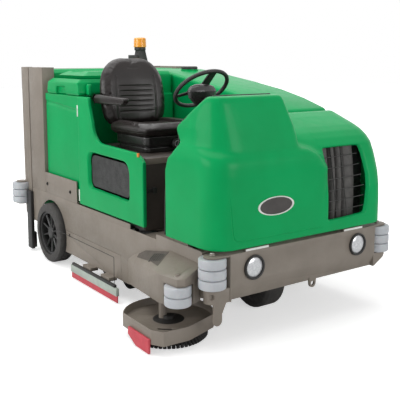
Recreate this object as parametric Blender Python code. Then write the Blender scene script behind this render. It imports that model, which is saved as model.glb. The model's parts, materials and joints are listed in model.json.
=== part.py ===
"""Ride-on floor scrubber machine: chassis, tanks, scrub head, squeegees, side brush, hopper and seat.

Lengths are in metres. While it is laid out, the machine faces -Y and its floor is z = 0, with y = 0 at the
face of the front bumper and x = 0 in the middle plane. The driver gets in from the right side, at -X.
The empty called machine then shifts the whole object, so that the middle of its box stands on the origin.
"""

import math

import bmesh
import bpy
from mathutils import Matrix, Vector

for old in list(bpy.data.objects):
    bpy.data.objects.remove(old)

# Overall sizes
HALF_WIDTH = 0.669  # side plates of the chassis, from the middle plane
SEAM_Z = 0.533  # top edge of the chassis, where the green covers begin
SKIRT_LOW = 0.130  # bottom edge of the side plates
MAST_TOP = 1.505
MAST_FRONT = 2.250
MAST_DEPTH = 0.265
MAST_WIDTH = 0.100
POST_DEPTH = 0.140  # depth of the hopper's rear posts

# Plate, clearances
PLATE = 0.008
TOUCH = 0.0003  # gap between faces that rest on each other
REACH = 0.150  # how far a cutter runs to each side of the plate that it goes through
RUN = 0.004  # gap beside something that moves
PIN_GAP = 0.0006  # gap round a shaft in its bore

# Wheels
AXLE_Y = 2.140
WHEEL_RADIUS = 0.230
TYRE_WIDTH = 0.130
TYRE_DEPTH = 0.062  # from the tread to the rim
WHEEL_PROUD = 0.041  # the wheel's outer face, out from the side plate
ARCH_GAP = 0.026
STUB_RADIUS = 0.022
DRIVE_Y = 0.460
DRIVE_RADIUS = 0.200
DRIVE_WIDTH = 0.150
KINGPIN_RADIUS = 0.031

# Bumper and its wall rollers
BUMPER_LOW = 0.269
BUMPER_BEND = 0.345
ROLLER_RADIUS = 0.077
ROLLER_DISC = 0.053
ROLLER_GROOVE = 0.004
FRONT_ROLLER_INSET = 0.010  # roller axis, in from the side plate
FRONT_ROLLER_Y = 0.056
FRONT_ROLLER_Z = 0.351
REAR_ROLLER_PROUD = 0.028
REAR_ROLLER_BACK = 0.006
REAR_ROLLER_Z = 0.390
SIDE_ROLLER_PROUD = 0.141
SIDE_ROLLER_Y = 0.165
SIDE_ROLLER_Z = 0.255
SIDE_ROLLER_RADIUS = 0.075
PIN_RADIUS = 0.010
EAR_RADIUS = 0.050
EAR = 0.010
BOLT_HEAD = 0.015
HEADLIGHT_X = 0.414
HEADLIGHT_Z = 0.438
HEADLIGHT_RADIUS = 0.070
COVER_PADS = ((-0.474, -0.307), (0.294, 0.459))  # ends of the two pads below the front cover
PAD_DEPTH = 0.030

# Step and driver's room
DECK_Z = 0.490
STEP_FRONT = 0.610
STEP_REAR = 0.923
SUPPORT_FRONT = 0.800
SUPPORT_TOP = 0.965
SUPPORT_INNER = 0.120
SEAT_X = -0.300
SEAT_WIDTH = 0.520
SEAT_FRONT = 0.930
SEAT_DEPTH = 0.490
CUSHION_LOW = 1.070
CUSHION_TOP = 1.160
BACK_TOP = 1.590
BACK_THICK = 0.105
BACK_LEAN = 0.105  # how far the top of the backrest lies behind its foot
STEER_X = -0.300
STEER_HUB = (0.660, 1.390)  # y and z of the steering wheel's centre
STEER_TILT = math.radians(40)  # the wheel's plane, from level
STEER_RADIUS = 0.185
RIM_RADIUS = 0.013
COLUMN_RADIUS = 0.020
COLUMN_LENGTH = 0.360
DASH_FRONT = 0.275
DASH_RIGHT = -0.585
DASH_LEFT = -0.160

# Tanks and covers
TANK_FRONT = 1.660
TANK_REAR = 2.240
TANK_TOP = 1.315
TANK_WALL = 0.012
PANEL_TOP = 0.695  # top of the grey panel below the recovery tank
RECOVERY_INNER = 0.150
LID_INNER = -0.100
LID_TOP = 1.483
LID_WALL = 0.010
SOLUTION_INNER = 0.165
SHROUD_LOW = 0.548
SHROUD_FRONT = -0.005
SHROUD_RIGHT = -0.686
SHROUD_LEFT = 0.660
SHROUD_RIGHT_RADIUS = 0.140
SHROUD_LEFT_RADIUS = 0.100
SHROUD_WALL = 0.014
SHROUD_REAR = 0.500
COWL_TOP = 1.375
DOOR_FRONT = 0.760
DOOR_THICK = 0.030
DOOR_COLUMN = 0.150

# Scrub head, squeegees and side brush
BRUSH_DOOR_FRONT = 1.045
BRUSH_DOOR_TOP = 0.300
HEAD_FRONT = 1.020
HEAD_REAR = 1.700
HEAD_HALF = 0.545
HEAD_TOP = 0.280
BRUSH_RADIUS = 0.095
BRUSH_FRONT_Y = 1.200
BRUSH_REAR_Y = 1.500
SHAFT_RADIUS = 0.018
SIDE_SQUEEGEE_FRONT = 0.980
SIDE_SQUEEGEE_REAR = 1.660
SIDE_SQUEEGEE_PROUD = 0.065
BLADE_CLEAR = 0.006  # blades and bristles, up from the floor at rest
SIDE_BRUSH = (-0.735, 0.375)
SIDE_BRUSH_RADIUS = 0.225
GUARD_RADIUS = 0.262
GUARD_LOW = 0.060
GUARD_TOP = 0.140
GUARD_WALL = 0.006
SQUEEGEE_HALF = 0.600
SQUEEGEE_Y = 2.450
SQUEEGEE_PIVOT = (2.255, 0.280)

# Hopper
HOPPER_LOW = 0.330
HOPPER_TOP = 1.490
HOPPER_FRONT = 2.270
HOPPER_REAR = 2.600
HOPPER_WALL = 0.008
TIE_LOW = 0.590  # foot of the plate that ties each carriage guide to its post
DUMP_PIVOT_Z = HOPPER_TOP - 0.070

# Beacon
BEACON = (0.000, 1.900)
BEACON_LOW = 1.660
BEACON_TOP = 1.735
BEACON_RADIUS = 0.050

MAST_REAR = MAST_FRONT + MAST_DEPTH
POST_FRONT = MAST_REAR + 0.015
POST_REAR = POST_FRONT + POST_DEPTH
FRONT_ROLLER_X = HALF_WIDTH - FRONT_ROLLER_INSET
REAR_ROLLER_X = HALF_WIDTH + REAR_ROLLER_PROUD
REAR_ROLLER_Y = POST_REAR + REAR_ROLLER_BACK
SIDE_ROLLER_X = -(HALF_WIDTH + SIDE_ROLLER_PROUD)
ARCH_RADIUS = WHEEL_RADIUS + ARCH_GAP
WHEEL_OUT = HALF_WIDTH + WHEEL_PROUD
FLAP_THICK = 0.014
BRUSH_TIP_X = SIDE_BRUSH[0] - 0.235  # outer corner of the side brush's guard

MACHINE = bpy.data.objects.new("machine", None)
bpy.context.scene.collection.objects.link(MACHINE)
LEFT_END = REAR_ROLLER_X + ROLLER_RADIUS
RIGHT_END = BRUSH_TIP_X - FLAP_THICK - TOUCH
FRONT_END = FRONT_ROLLER_Y - ROLLER_RADIUS
REAR_END = REAR_ROLLER_Y + ROLLER_RADIUS
MACHINE.location = (-(LEFT_END + RIGHT_END) / 2, -(FRONT_END + REAR_END) / 2, 0)


def finish(name, colour, roughness, metallic=0.0):
    made = bpy.data.materials.new(name)
    made.use_nodes = True
    shader = made.node_tree.nodes["Principled BSDF"]
    shader.inputs["Base Color"].default_value = (*colour, 1)
    shader.inputs["Roughness"].default_value = roughness
    shader.inputs["Metallic"].default_value = metallic
    return made


GREEN = finish("green_cover", (0.0, 0.36, 0.09), 0.35)
TAUPE = finish("chassis_paint", (0.24, 0.20, 0.17), 0.5)
DARK_STEEL = finish("dark_steel", (0.03, 0.03, 0.03), 0.5, 0.6)
BLACK = finish("black_plastic", (0.02, 0.02, 0.02), 0.5)
TYRE = finish("tyre_rubber", (0.03, 0.03, 0.03), 0.8)
SEAT = finish("seat_vinyl", (0.03, 0.028, 0.028), 0.5)
ROLLER = finish("roller_plastic", (0.48, 0.50, 0.54), 0.45)
RED = finish("red_rubber", (0.60, 0.06, 0.08), 0.55)
BRISTLE = finish("bristle", (0.02, 0.02, 0.02), 0.9)
AMBER = finish("amber_lens", (0.95, 0.35, 0.01), 0.2)
LENS = finish("lamp_glass", (0.75, 0.76, 0.72), 0.1)


def loop_of(bm, points):
    verts = [bm.verts.new(point) for point in points]
    return bm.faces.new(verts)


def plate(axis, outline, low, high):
    """A flat outline given in the other two coordinates, in order, extruded along an axis from low to high."""
    places = {
        "x": lambda a, b: (low, a, b),
        "y": lambda a, b: (a, low, b),
        "z": lambda a, b: (a, b, low),
    }
    way = {"x": (1, 0, 0), "y": (0, 1, 0), "z": (0, 0, 1)}[axis]
    bm = bmesh.new()
    face = loop_of(bm, [places[axis](a, b) for a, b in outline])
    grown = bmesh.ops.extrude_face_region(bm, geom=[face])
    moved = [item for item in grown["geom"] if isinstance(item, bmesh.types.BMVert)]
    bmesh.ops.translate(bm, verts=moved, vec=Vector(way) * (high - low))
    bmesh.ops.recalc_face_normals(bm, faces=bm.faces)
    return bm


def block(low, high):
    (x0, y0, z0), (x1, y1, z1) = low, high
    return plate("z", [(x0, y0), (x1, y0), (x1, y1), (x0, y1)], z0, z1)


def hull(points):
    bm = bmesh.new()
    verts = [bm.verts.new(point) for point in points]
    bmesh.ops.convex_hull(bm, input=verts)
    bmesh.ops.recalc_face_normals(bm, faces=bm.faces)
    return bm


def rod(start, end, radius, sides=12, end_radius=None):
    """A round bar between two points, with one corner of its section on a fixed direction."""
    start, end = Vector(start), Vector(end)
    bm = bmesh.new()
    last = radius if end_radius is None else end_radius
    bmesh.ops.create_cone(
        bm, cap_ends=True, segments=sides, radius1=radius, radius2=last, depth=(end - start).length,
    )
    turn = Vector((0, 0, 1)).rotation_difference(end - start).to_matrix().to_4x4()
    bmesh.ops.transform(bm, matrix=Matrix.Translation((start + end) / 2) @ turn, verts=bm.verts)
    return bm


def turned(profile, centre, axis=(0, 0, 1), sides=24):
    """A closed outline of (radius, height) points, turned about an axis through centre."""
    bm = bmesh.new()
    verts = [bm.verts.new((radius, 0, height)) for radius, height in profile]
    closed = all(radius > 0 for radius, height in profile)
    edges = [bm.edges.new(pair) for pair in zip(verts, verts[1:])]
    if closed:
        edges.append(bm.edges.new((verts[-1], verts[0])))
    bmesh.ops.spin(
        bm, geom=verts + edges, cent=(0, 0, 0), axis=(0, 0, 1), angle=math.tau, steps=sides, use_merge=True
    )
    bmesh.ops.remove_doubles(bm, verts=bm.verts, dist=1e-6)
    bmesh.ops.recalc_face_normals(bm, faces=bm.faces)
    turn = Vector((0, 0, 1)).rotation_difference(Vector(axis)).to_matrix().to_4x4()
    bmesh.ops.transform(bm, matrix=Matrix.Translation(centre) @ turn, verts=bm.verts)
    return bm


def arc(centre, radius, start, end, steps):
    """Points on an arc, with its two ends, from one angle in degrees to another."""
    angles = [math.radians(start + (end - start) * step / steps) for step in range(steps + 1)]
    return [(centre[0] + radius * math.cos(a), centre[1] + radius * math.sin(a)) for a in angles]


def pivot(name, place):
    """An empty on a joint's axis, which carries what turns or slides on that joint."""
    empty = bpy.data.objects.new(name, None)
    bpy.context.scene.collection.objects.link(empty)
    empty.parent = MACHINE
    empty.location = place
    return empty


def put(name, bm, carrier):
    mesh = bpy.data.meshes.new(name)
    bm.to_mesh(mesh)
    bm.free()
    mesh.shade_smooth()
    mesh.set_sharp_from_angle(angle=math.radians(32))
    obj = bpy.data.objects.new(name, mesh)
    bpy.context.scene.collection.objects.link(obj)
    obj.parent = carrier or MACHINE
    if carrier:
        obj.location = -carrier.location
    return obj


def piece(name, material, shape, joined=(), cut=(), within=(), added=(), carrier=None):
    """One sub-part: a shape, others joined to it, cut from it or bounding it, and some added last."""
    obj = put(name, shape, carrier)
    obj.data.materials.append(material)
    steps = [("UNION", tool) for tool in joined] + [("DIFFERENCE", tool) for tool in cut]
    steps += [("INTERSECT", tool) for tool in within] + [("UNION", tool) for tool in added]
    for number, (operation, tool) in enumerate(steps):
        helper = put(f"{name}.tool{number}", tool, carrier)
        helper.hide_render = True
        helper.display_type = "WIRE"
        step = obj.modifiers.new(f"{operation.lower()} {number}", "BOOLEAN")
        step.operation = operation
        step.object = helper
    return obj


def wall_rollers(name, x, y, low, radius, discs):
    """Free-turning wall rollers: discs with a groove between them, on one pin."""
    hub = pivot(f"{name}_axis", (x, y, low))
    edge = 0.005
    outline = []
    for disc in range(discs):
        foot = disc * (ROLLER_DISC + ROLLER_GROOVE)
        if disc:
            outline.append((radius - 3 * edge, foot - ROLLER_GROOVE / 2))
        outline += [(radius - edge, foot), (radius, foot + edge)]
        outline += [(radius, foot + ROLLER_DISC - edge), (radius - edge, foot + ROLLER_DISC)]
    height = outline[-1][1]
    bore = PIN_RADIUS + 1.5 * PIN_GAP
    outline += [(bore, height), (bore, 0)]
    piece(name, ROLLER, turned(outline, (x, y, low), sides=18), carrier=hub)


def ear(x, y, low, high, inner_x, inner_y):
    """A lobed plate that holds one end of a roller pin, run back to a corner of the frame."""
    side = math.copysign(1, x)
    lobe = [(x + side * dx, y + dy) for dx, dy in arc((0, 0), EAR_RADIUS, -100, 100, 8)]
    return plate("z", lobe + [(inner_x, inner_y), (inner_x, y - EAR_RADIUS)], low, high)


FRONT_ROLLER_TOP = FRONT_ROLLER_Z + 3 * ROLLER_DISC + 2 * ROLLER_GROOVE
POCKET_X = FRONT_ROLLER_X - ROLLER_RADIUS - RUN
POCKET_Y = FRONT_ROLLER_Y + ROLLER_RADIUS + RUN


def front_bumper():
    """Folded steel plate across the front, with a pocket, two ears and a pin at each end for the rollers."""
    lean = 0.030
    face = [
        (0, BUMPER_BEND), (0, SEAM_Z), (PLATE, SEAM_Z), (PLATE, BUMPER_BEND),
        (lean + PLATE, BUMPER_LOW), (lean, BUMPER_LOW),
    ]
    parts = [block((-POCKET_X, 0, FRONT_ROLLER_TOP + TOUCH), (POCKET_X, POCKET_Y + PLATE, SEAM_Z))]
    for right, left in COVER_PADS:
        parts.append(block((right, 0, SEAM_Z - PLATE), (left, PAD_DEPTH, SHROUD_LOW - TOUCH)))
    top = (FRONT_ROLLER_TOP + RUN / 2, FRONT_ROLLER_TOP + RUN / 2 + EAR)
    shoe = (BUMPER_LOW, FRONT_ROLLER_Z - RUN / 2)
    for side in (-1, 1):
        x, inner = side * FRONT_ROLLER_X, side * (POCKET_X - PLATE)
        parts.append(block(*ordered((inner, 0, shoe[0]), (side * POCKET_X, POCKET_Y + PLATE, top[1]))))
        parts.append(
            block(*ordered((inner, POCKET_Y, shoe[0]), (side * HALF_WIDTH, POCKET_Y + PLATE, top[1])))
        )
        parts.append(ear(x, FRONT_ROLLER_Y, *top, inner, POCKET_Y + PLATE / 2))
        parts.append(ear(x, FRONT_ROLLER_Y, *shoe, inner, POCKET_Y + PLATE / 2))
        parts.append(
            rod((x, FRONT_ROLLER_Y, shoe[1] - 0.02), (x, FRONT_ROLLER_Y, top[1] + 0.002), PIN_RADIUS)
        )
        parts.append(
            rod((x, FRONT_ROLLER_Y, top[1] - 0.001), (x, FRONT_ROLLER_Y, top[1] + 0.012), BOLT_HEAD, 6)
        )
    fin_x, fin_low = -FRONT_ROLLER_X + 0.005, 0.175
    fin = [(fin_x - 0.028, BUMPER_LOW + 0.01), (fin_x - 0.028, fin_low)]
    fin += arc((fin_x, fin_low), 0.029, 180, 360, 8)[1:]
    fin += [(fin_x + 0.029, fin_low + 0.035), (fin_x + 0.062, BUMPER_LOW + 0.01)]
    parts.append(plate("y", fin, 0.010, 0.022))
    hook = [(0.030, BUMPER_LOW + 0.03)] + arc(
        (0.060, 0.250), 0.026, 180, 360, 10,
    ) + [(0.090, BUMPER_LOW + 0.03)]
    parts.append(plate("y", hook, 0.020, 0.034))
    holes = [rod((0.060, 0, 0.250), (0.060, 0.060, 0.250), 0.014)]
    holes.append(
        rod((-FRONT_ROLLER_X - 0.03, -0.02, 0.312), (-FRONT_ROLLER_X - 0.03, 0.03, 0.312), 0.017, 6)
    )
    for side in (-1, 1):
        x = side * HEADLIGHT_X
        holes.append(rod((x, -0.05, HEADLIGHT_Z), (x, 0.05, HEADLIGHT_Z), HEADLIGHT_RADIUS - 0.008, 24))
    corner_x, corner_z = POCKET_X + 0.010, BUMPER_LOW - 0.001
    chamfer = [
        (corner_x, 0.200), (corner_x, corner_z), (corner_x + 0.125, BUMPER_BEND - 0.008),
        (0.850, BUMPER_BEND - 0.008), (0.850, 0.200),
    ]
    holes.append(plate("y", chamfer, -0.100, 0.200))
    piece("front_bumper", TAUPE, plate("x", face, -POCKET_X, POCKET_X), parts, holes)
    for side, word in ((-1, "right"), (1, "left")):
        name = f"wall_rollers_front_{word}"
        wall_rollers(name, side * FRONT_ROLLER_X, FRONT_ROLLER_Y, FRONT_ROLLER_Z, ROLLER_RADIUS, 3)


def ordered(first, second):
    """Two corners of a box, put in order."""
    return tuple(map(min, first, second)), tuple(map(max, first, second))


def beside(side, low, high):
    """A box on one side of the middle plane, from corners that are given for the left."""
    return block(*ordered((side * low[0], low[1], low[2]), (side * high[0], high[1], high[2])))


def headlights():
    """Sealed round lamps, set through the bumper from the front with a flange on its face."""
    rim, seat = HEADLIGHT_RADIUS, HEADLIGHT_RADIUS - 0.008 - PIN_GAP * 2
    outline = [(0, -0.012), (rim * 0.8, -0.010), (rim * 0.82, -0.016), (rim, -0.012), (rim, -TOUCH)]
    outline += [(seat, -TOUCH), (seat, 0.030), (seat * 0.5, 0.060), (0, 0.060)]
    for side, word in ((-1, "right"), (1, "left")):
        shape = turned(outline, (side * HEADLIGHT_X, 0, HEADLIGHT_Z), (0, 1, 0), 24)
        piece(f"headlight_{word}", LENS, shape)


INNER_HALF = HALF_WIDTH - PLATE - TOUCH
DECK_FRONT = POCKET_Y + PLATE + TOUCH
DECK_LOW = DECK_Z - 0.012
RAIL_IN, RAIL_OUT = 0.360, 0.400


def floor_deck():
    """Driver's floor, with the bush that the steered drive wheel turns in and two rails below."""
    deck = block((-INNER_HALF, DECK_FRONT, DECK_LOW), (INNER_HALF, SUPPORT_FRONT - TOUCH, DECK_Z))
    parts = [rod((0, DRIVE_Y, DECK_LOW - 0.03), (0, DRIVE_Y, DECK_Z - 0.002), KINGPIN_RADIUS + 0.025, 20)]
    for side in (-1, 1):
        low = (side * RAIL_IN, DECK_FRONT, DECK_LOW - 0.05)
        parts.append(block(*ordered(low, (side * RAIL_OUT, SUPPORT_FRONT - TOUCH, DECK_LOW + 0.002))))
    bore = rod((0, DRIVE_Y, DECK_LOW - 0.1), (0, DRIVE_Y, DECK_Z + 0.1), KINGPIN_RADIUS + PIN_GAP * 1.5, 20)
    piece("floor_deck", TAUPE, deck, parts, [bore])


def side_skirts():
    """Outer side plates of the chassis, with the wheel arch, the brush door's opening and the step."""
    rear_low = WHEEL_RADIUS + 0.03
    for side, word in ((-1, "right"), (1, "left")):
        outline = [
            (DECK_FRONT, BUMPER_LOW), (0.60, 0.215), (0.95, SKIRT_LOW), (AXLE_Y, SKIRT_LOW),
            (AXLE_Y, rear_low), (MAST_REAR, rear_low), (MAST_REAR, SEAM_Z), (DECK_FRONT, SEAM_Z),
        ]
        skin = plate("x", outline, *sorted((side * (HALF_WIDTH - PLATE), side * HALF_WIDTH)))
        near, far = side * (HALF_WIDTH - REACH), side * (HALF_WIDTH + REACH)
        arch = rod((near, AXLE_Y, WHEEL_RADIUS), (far, AXLE_Y, WHEEL_RADIUS), ARCH_RADIUS, 32)
        door = block(*ordered((near, BRUSH_DOOR_FRONT, 0), (far, AXLE_Y, BRUSH_DOOR_TOP)))
        cuts = [arch, door]
        if side < 0:
            step_low = DECK_Z + 0.012
            cuts.append(block((far, STEP_FRONT, step_low), (near, STEP_REAR, SEAM_Z + REACH)))
        piece(f"side_skirt_{word}", TAUPE, skin, cut=cuts)


def main_frame():
    """Welded frame behind the deck: rails, scrub head guide plate, tank platform, axle beam and stub axles."""
    beam_half = WHEEL_OUT - TYRE_WIDTH - 0.030
    rails = (DECK_LOW - 0.05, DECK_LOW + 0.027)
    platform = (SEAM_Z + TOUCH, SEAM_Z + TOUCH + 0.012)
    base = block(
        (-HALF_WIDTH, TANK_FRONT + 0.03, platform[0]), (HALF_WIDTH, MAST_FRONT - TOUCH, platform[1]),
    )
    parts = [block((-RAIL_OUT, 1.10, rails[0]), (RAIL_OUT, 1.60, rails[0] + 0.010))]
    parts.append(
        block(
            (-beam_half, AXLE_Y - 0.04, WHEEL_RADIUS - 0.04),
            (beam_half, AXLE_Y + 0.04, WHEEL_RADIUS + 0.04),
        )
    )
    for side in (-1, 1):
        parts.append(
            beside(side, (RAIL_IN, SUPPORT_FRONT, rails[0]), (RAIL_OUT, MAST_FRONT - 0.01, rails[1]))
        )
        parts.append(
            beside(
                side,
                (RAIL_IN, TANK_FRONT + 0.04, rails[1] - 0.002),
                (RAIL_OUT, MAST_FRONT - 0.01, platform[0] + 0.002),
            )
        )
        parts.append(
            beside(
                side, (RAIL_IN, AXLE_Y - 0.04, WHEEL_RADIUS), (RAIL_OUT, AXLE_Y + 0.04, rails[0] + 0.002),
            )
        )
        panel_inner = HALF_WIDTH - PLATE
        parts.append(
            beside(
                side, (panel_inner, TANK_FRONT + 0.03, platform[0]),
                (HALF_WIDTH, MAST_FRONT - TOUCH, PANEL_TOP),
            )
        )
        stub_end = WHEEL_OUT - 0.030
        parts.append(
            rod(
                (side * (beam_half - 0.02), AXLE_Y, WHEEL_RADIUS), (side * stub_end, AXLE_Y, WHEEL_RADIUS),
                STUB_RADIUS,
            )
        )
        py, pz = SQUEEGEE_PIVOT
        parts.append(
            beside(side, (0.300, AXLE_Y + 0.03, WHEEL_RADIUS - 0.03), (0.312, py + 0.02, pz + 0.02))
        )
        parts.append(rod((side * 0.255, py, pz), (side * 0.305, py, pz), 0.010, 12))
    holes = []
    for x, y in head_guides():
        holes.append(rod((x, y, rails[0] - 0.1), (x, y, rails[0] + 0.1), 0.016 + PIN_GAP))
    piece("main_frame", TAUPE, base, parts, holes)


def head_guides():
    """Places of the four guide rods of the scrub head."""
    return [(x, y) for x in (-0.280, 0.280) for y in (BRUSH_FRONT_Y, BRUSH_REAR_Y)]


def rear_wheels():
    """Solid rubber tyres on ten-spoke wheels, turning on stub axles."""
    rim = WHEEL_RADIUS - TYRE_DEPTH
    spokes = 10
    for side, word in ((-1, "right"), (1, "left")):
        hub = pivot(f"rear_wheel_{word}_axis", (side * WHEEL_OUT, AXLE_Y, WHEEL_RADIUS))
        centre = (side * WHEEL_OUT, AXLE_Y, WHEEL_RADIUS)
        inward = (-side, 0, 0)
        edge = 0.016
        tread = [
            (rim + TOUCH, 0.012), (WHEEL_RADIUS - edge, 0), (WHEEL_RADIUS, edge),
            (WHEEL_RADIUS, TYRE_WIDTH - edge), (WHEEL_RADIUS - edge, TYRE_WIDTH),
            (rim + TOUCH, TYRE_WIDTH - 0.012),
        ]
        piece(f"rear_tyre_{word}", TYRE, turned(tread, centre, inward, 32), carrier=hub)
        ring = [
            (rim - 0.016, 0.016), (rim, 0.012), (rim, TYRE_WIDTH - 0.012),
            (rim - 0.016, TYRE_WIDTH - 0.016),
        ]
        boss = [
            (0, 0.020), (0.040, 0.020), (0.048, 0.030), (0.048, TYRE_WIDTH - 0.02), (0, TYRE_WIDTH - 0.02),
        ]
        parts = [turned(boss, centre, inward, 14)]
        for spoke in range(spokes):
            angle = math.tau * (spoke + 0.5) / spokes
            across = Vector((0, math.cos(angle), math.sin(angle)))
            start = Vector(centre) + across * 0.030 - Vector((side * 0.040, 0, 0))
            end = Vector(centre) + across * (rim - 0.008) - Vector((side * 0.034, 0, 0))
            parts.append(rod(start, end, 0.010, 4))
        bore = rod(
            (side * 0.4, AXLE_Y, WHEEL_RADIUS), (side * (WHEEL_OUT - 0.029), AXLE_Y, WHEEL_RADIUS),
            STUB_RADIUS + PIN_GAP * 2,
        )
        piece(
            f"rear_wheel_{word}", DARK_STEEL, turned(ring, centre, inward, 32), parts, [bore], carrier=hub,
        )


def drive_unit():
    """Front drive wheel in a one-sided fork, which turns on a kingpin in the deck's bush."""
    steer = pivot("steer_axis", (0, DRIVE_Y, DECK_Z))
    leg = DRIVE_WIDTH / 2 + 0.012
    top = DECK_LOW - 0.032
    crown = rod((0, DRIVE_Y, top - 0.014), (0, DRIVE_Y, top), 0.105, 20)
    parts = [
        rod((0, DRIVE_Y, top - 0.002), (0, DRIVE_Y, DECK_Z + 0.006), KINGPIN_RADIUS, 20),
        plate(
            "x",
            [
                (DRIVE_Y - 0.05, top - 0.01), (DRIVE_Y + 0.05, top - 0.01),
                (DRIVE_Y + 0.04, DRIVE_RADIUS - 0.04), (DRIVE_Y - 0.04, DRIVE_RADIUS - 0.04),
            ],
            leg, leg + 0.016,
        ),
        rod(
            (-DRIVE_WIDTH / 2 + 0.02, DRIVE_Y, DRIVE_RADIUS), (leg + 0.004, DRIVE_Y, DRIVE_RADIUS),
            STUB_RADIUS,
        ),
    ]
    piece("steer_fork", DARK_STEEL, crown, parts, carrier=steer)
    spin = pivot("drive_wheel_axis", (0, DRIVE_Y, DRIVE_RADIUS))
    bore, half, edge = STUB_RADIUS + PIN_GAP, DRIVE_WIDTH / 2, 0.018
    outline = [
        (bore, -half + 0.03), (0.110, -half + 0.03), (0.125, -half), (DRIVE_RADIUS - edge, -half),
        (DRIVE_RADIUS, -half + edge),
        (DRIVE_RADIUS, half - edge), (DRIVE_RADIUS - edge, half), (0.125, half), (0.110, half - 0.03),
        (bore, half - 0.03),
    ]
    piece("drive_wheel", TYRE, turned(outline, (0, DRIVE_Y, DRIVE_RADIUS), (1, 0, 0), 32), carrier=spin)


def brush_outrigger():
    """Box arm on the right that carries the side brush, with a sloped tread and rollers on its corner."""
    root = -(HALF_WIDTH + TOUCH)
    out = SIDE_ROLLER_X - 0.045
    roller_top = SIDE_ROLLER_Z + 2 * ROLLER_DISC + ROLLER_GROOVE
    front, root_front = SIDE_ROLLER_Y - 0.060, DECK_FRONT + 0.005
    points = [
        (root, 0.950, SKIRT_LOW + 0.01), (root, 0.950, 0.300), (root, 0.908, 0.330), (root, 0.741, 0.412),
        (root, 0.460, 0.470), (root, 0.190, 0.462), (root, root_front, 0.450),
        (root, root_front, SIDE_ROLLER_Z),
        (root - 0.006, 0.935, SKIRT_LOW + 0.01), (root - 0.006, 0.935, 0.300),
        (out, 0.300, 0.405), (out, 0.300, SIDE_ROLLER_Z - 0.015), (out + 0.012, front + 0.02, 0.410),
        (out + 0.012, front + 0.02, SIDE_ROLLER_Z - 0.002), (out + 0.050, front, 0.410),
        (out + 0.050, front, SIDE_ROLLER_Z),
    ]
    clear = SIDE_ROLLER_RADIUS + RUN
    space = block(
        (SIDE_ROLLER_X - clear, SIDE_ROLLER_Y - clear - 0.1, SIDE_ROLLER_Z - 0.1),
        (SIDE_ROLLER_X + clear, SIDE_ROLLER_Y + clear, roller_top + RUN / 2),
    )
    socket = rod((*BRUSH_POST, SIDE_ROLLER_Z - 0.1), (*BRUSH_POST, 0.325), 0.024 + PIN_GAP)
    bolt_top = 0.412
    parts = [
        rod(
            (SIDE_ROLLER_X, SIDE_ROLLER_Y, SIDE_ROLLER_Z - 0.010),
            (SIDE_ROLLER_X, SIDE_ROLLER_Y, roller_top + 0.02), PIN_RADIUS,
        ),
        rod(
            (SIDE_ROLLER_X, SIDE_ROLLER_Y, SIDE_ROLLER_Z - 0.014),
            (SIDE_ROLLER_X, SIDE_ROLLER_Y, SIDE_ROLLER_Z - 0.004), 0.020, 12,
        ),
        rod(
            (SIDE_ROLLER_X, SIDE_ROLLER_Y, roller_top + 0.01),
            (SIDE_ROLLER_X, SIDE_ROLLER_Y, bolt_top + 0.018), BOLT_HEAD, 6,
        ),
    ]
    piece("brush_outrigger", TAUPE, hull(points), cut=[space, socket], added=parts)
    wall_rollers(
        "wall_rollers_outrigger", SIDE_ROLLER_X, SIDE_ROLLER_Y, SIDE_ROLLER_Z, SIDE_ROLLER_RADIUS, 2,
    )


BRUSH_POST = (SIDE_BRUSH[0] - 0.020, SIDE_BRUSH[1] + 0.030)


def side_brush():
    """Disc brush under a dished guard, which slides up on a post. A red flap closes its corner."""
    lift = pivot("side_brush_lift_axis", (*BRUSH_POST, GUARD_TOP))
    cx, cy = SIDE_BRUSH
    tip = (BRUSH_TIP_X, 0.185)

    def outline(inset):
        r = GUARD_RADIUS - inset
        corner = [
            (tip[0] + inset, tip[1] + inset * 0.3), (-0.932 + inset * 0.7, 0.117 + inset),
            (-0.769, 0.112 + inset),
        ]
        return corner + arc((cx, cy), r, -46, 150, 20)

    floor_z = GUARD_LOW + 0.030
    cavity = plate("z", outline(GUARD_WALL), GUARD_LOW - 0.02, floor_z)
    dish = plate("z", outline(GUARD_WALL), floor_z + GUARD_WALL, GUARD_TOP + 0.02)
    post = rod((*BRUSH_POST, floor_z + 0.002), (*BRUSH_POST, SIDE_ROLLER_Z + 0.015), 0.024)
    shaft = rod((cx, cy, floor_z - 0.018), (cx, cy, floor_z + 0.002), SHAFT_RADIUS)
    slot = plate(
        "z", arc((cx, cy), 0.150, 215, 245, 6) + arc((cx, cy), 0.172, 245, 215, 6), floor_z - 0.01,
        floor_z + 0.02,
    )
    skin = plate("z", outline(0), GUARD_LOW, GUARD_TOP)
    piece("side_brush_guard", TAUPE, skin, cut=[cavity, dish, slot], added=[post, shaft], carrier=lift)
    flap_rear, drift = 0.420, 0.005
    near = tip[0] - TOUCH
    flap = [
        (near, tip[1] + 0.004), (near - FLAP_THICK, tip[1] + 0.004),
        (near - FLAP_THICK + drift, flap_rear), (near + drift, flap_rear),
    ]
    lean = plate("z", flap, BLADE_CLEAR, GUARD_LOW + 0.030)
    piece("side_brush_flap", RED, lean, cut=[flap_corner()], carrier=lift)
    spin = pivot("side_brush_axis", (cx, cy, floor_z))
    hub_top = floor_z - TOUCH
    profile = [
        (SHAFT_RADIUS + PIN_GAP, hub_top), (0.060, hub_top), (0.150, hub_top - 0.012), (0.170, 0.050),
        (SIDE_BRUSH_RADIUS, BLADE_CLEAR),
        (SIDE_BRUSH_RADIUS - 0.080, BLADE_CLEAR), (0.110, 0.050), (SHAFT_RADIUS + PIN_GAP, 0.050),
    ]
    profile = [(radius, height - floor_z) for radius, height in profile]
    piece("side_brush", BRISTLE, turned(profile, (cx, cy, floor_z), sides=28), carrier=spin)


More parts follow.
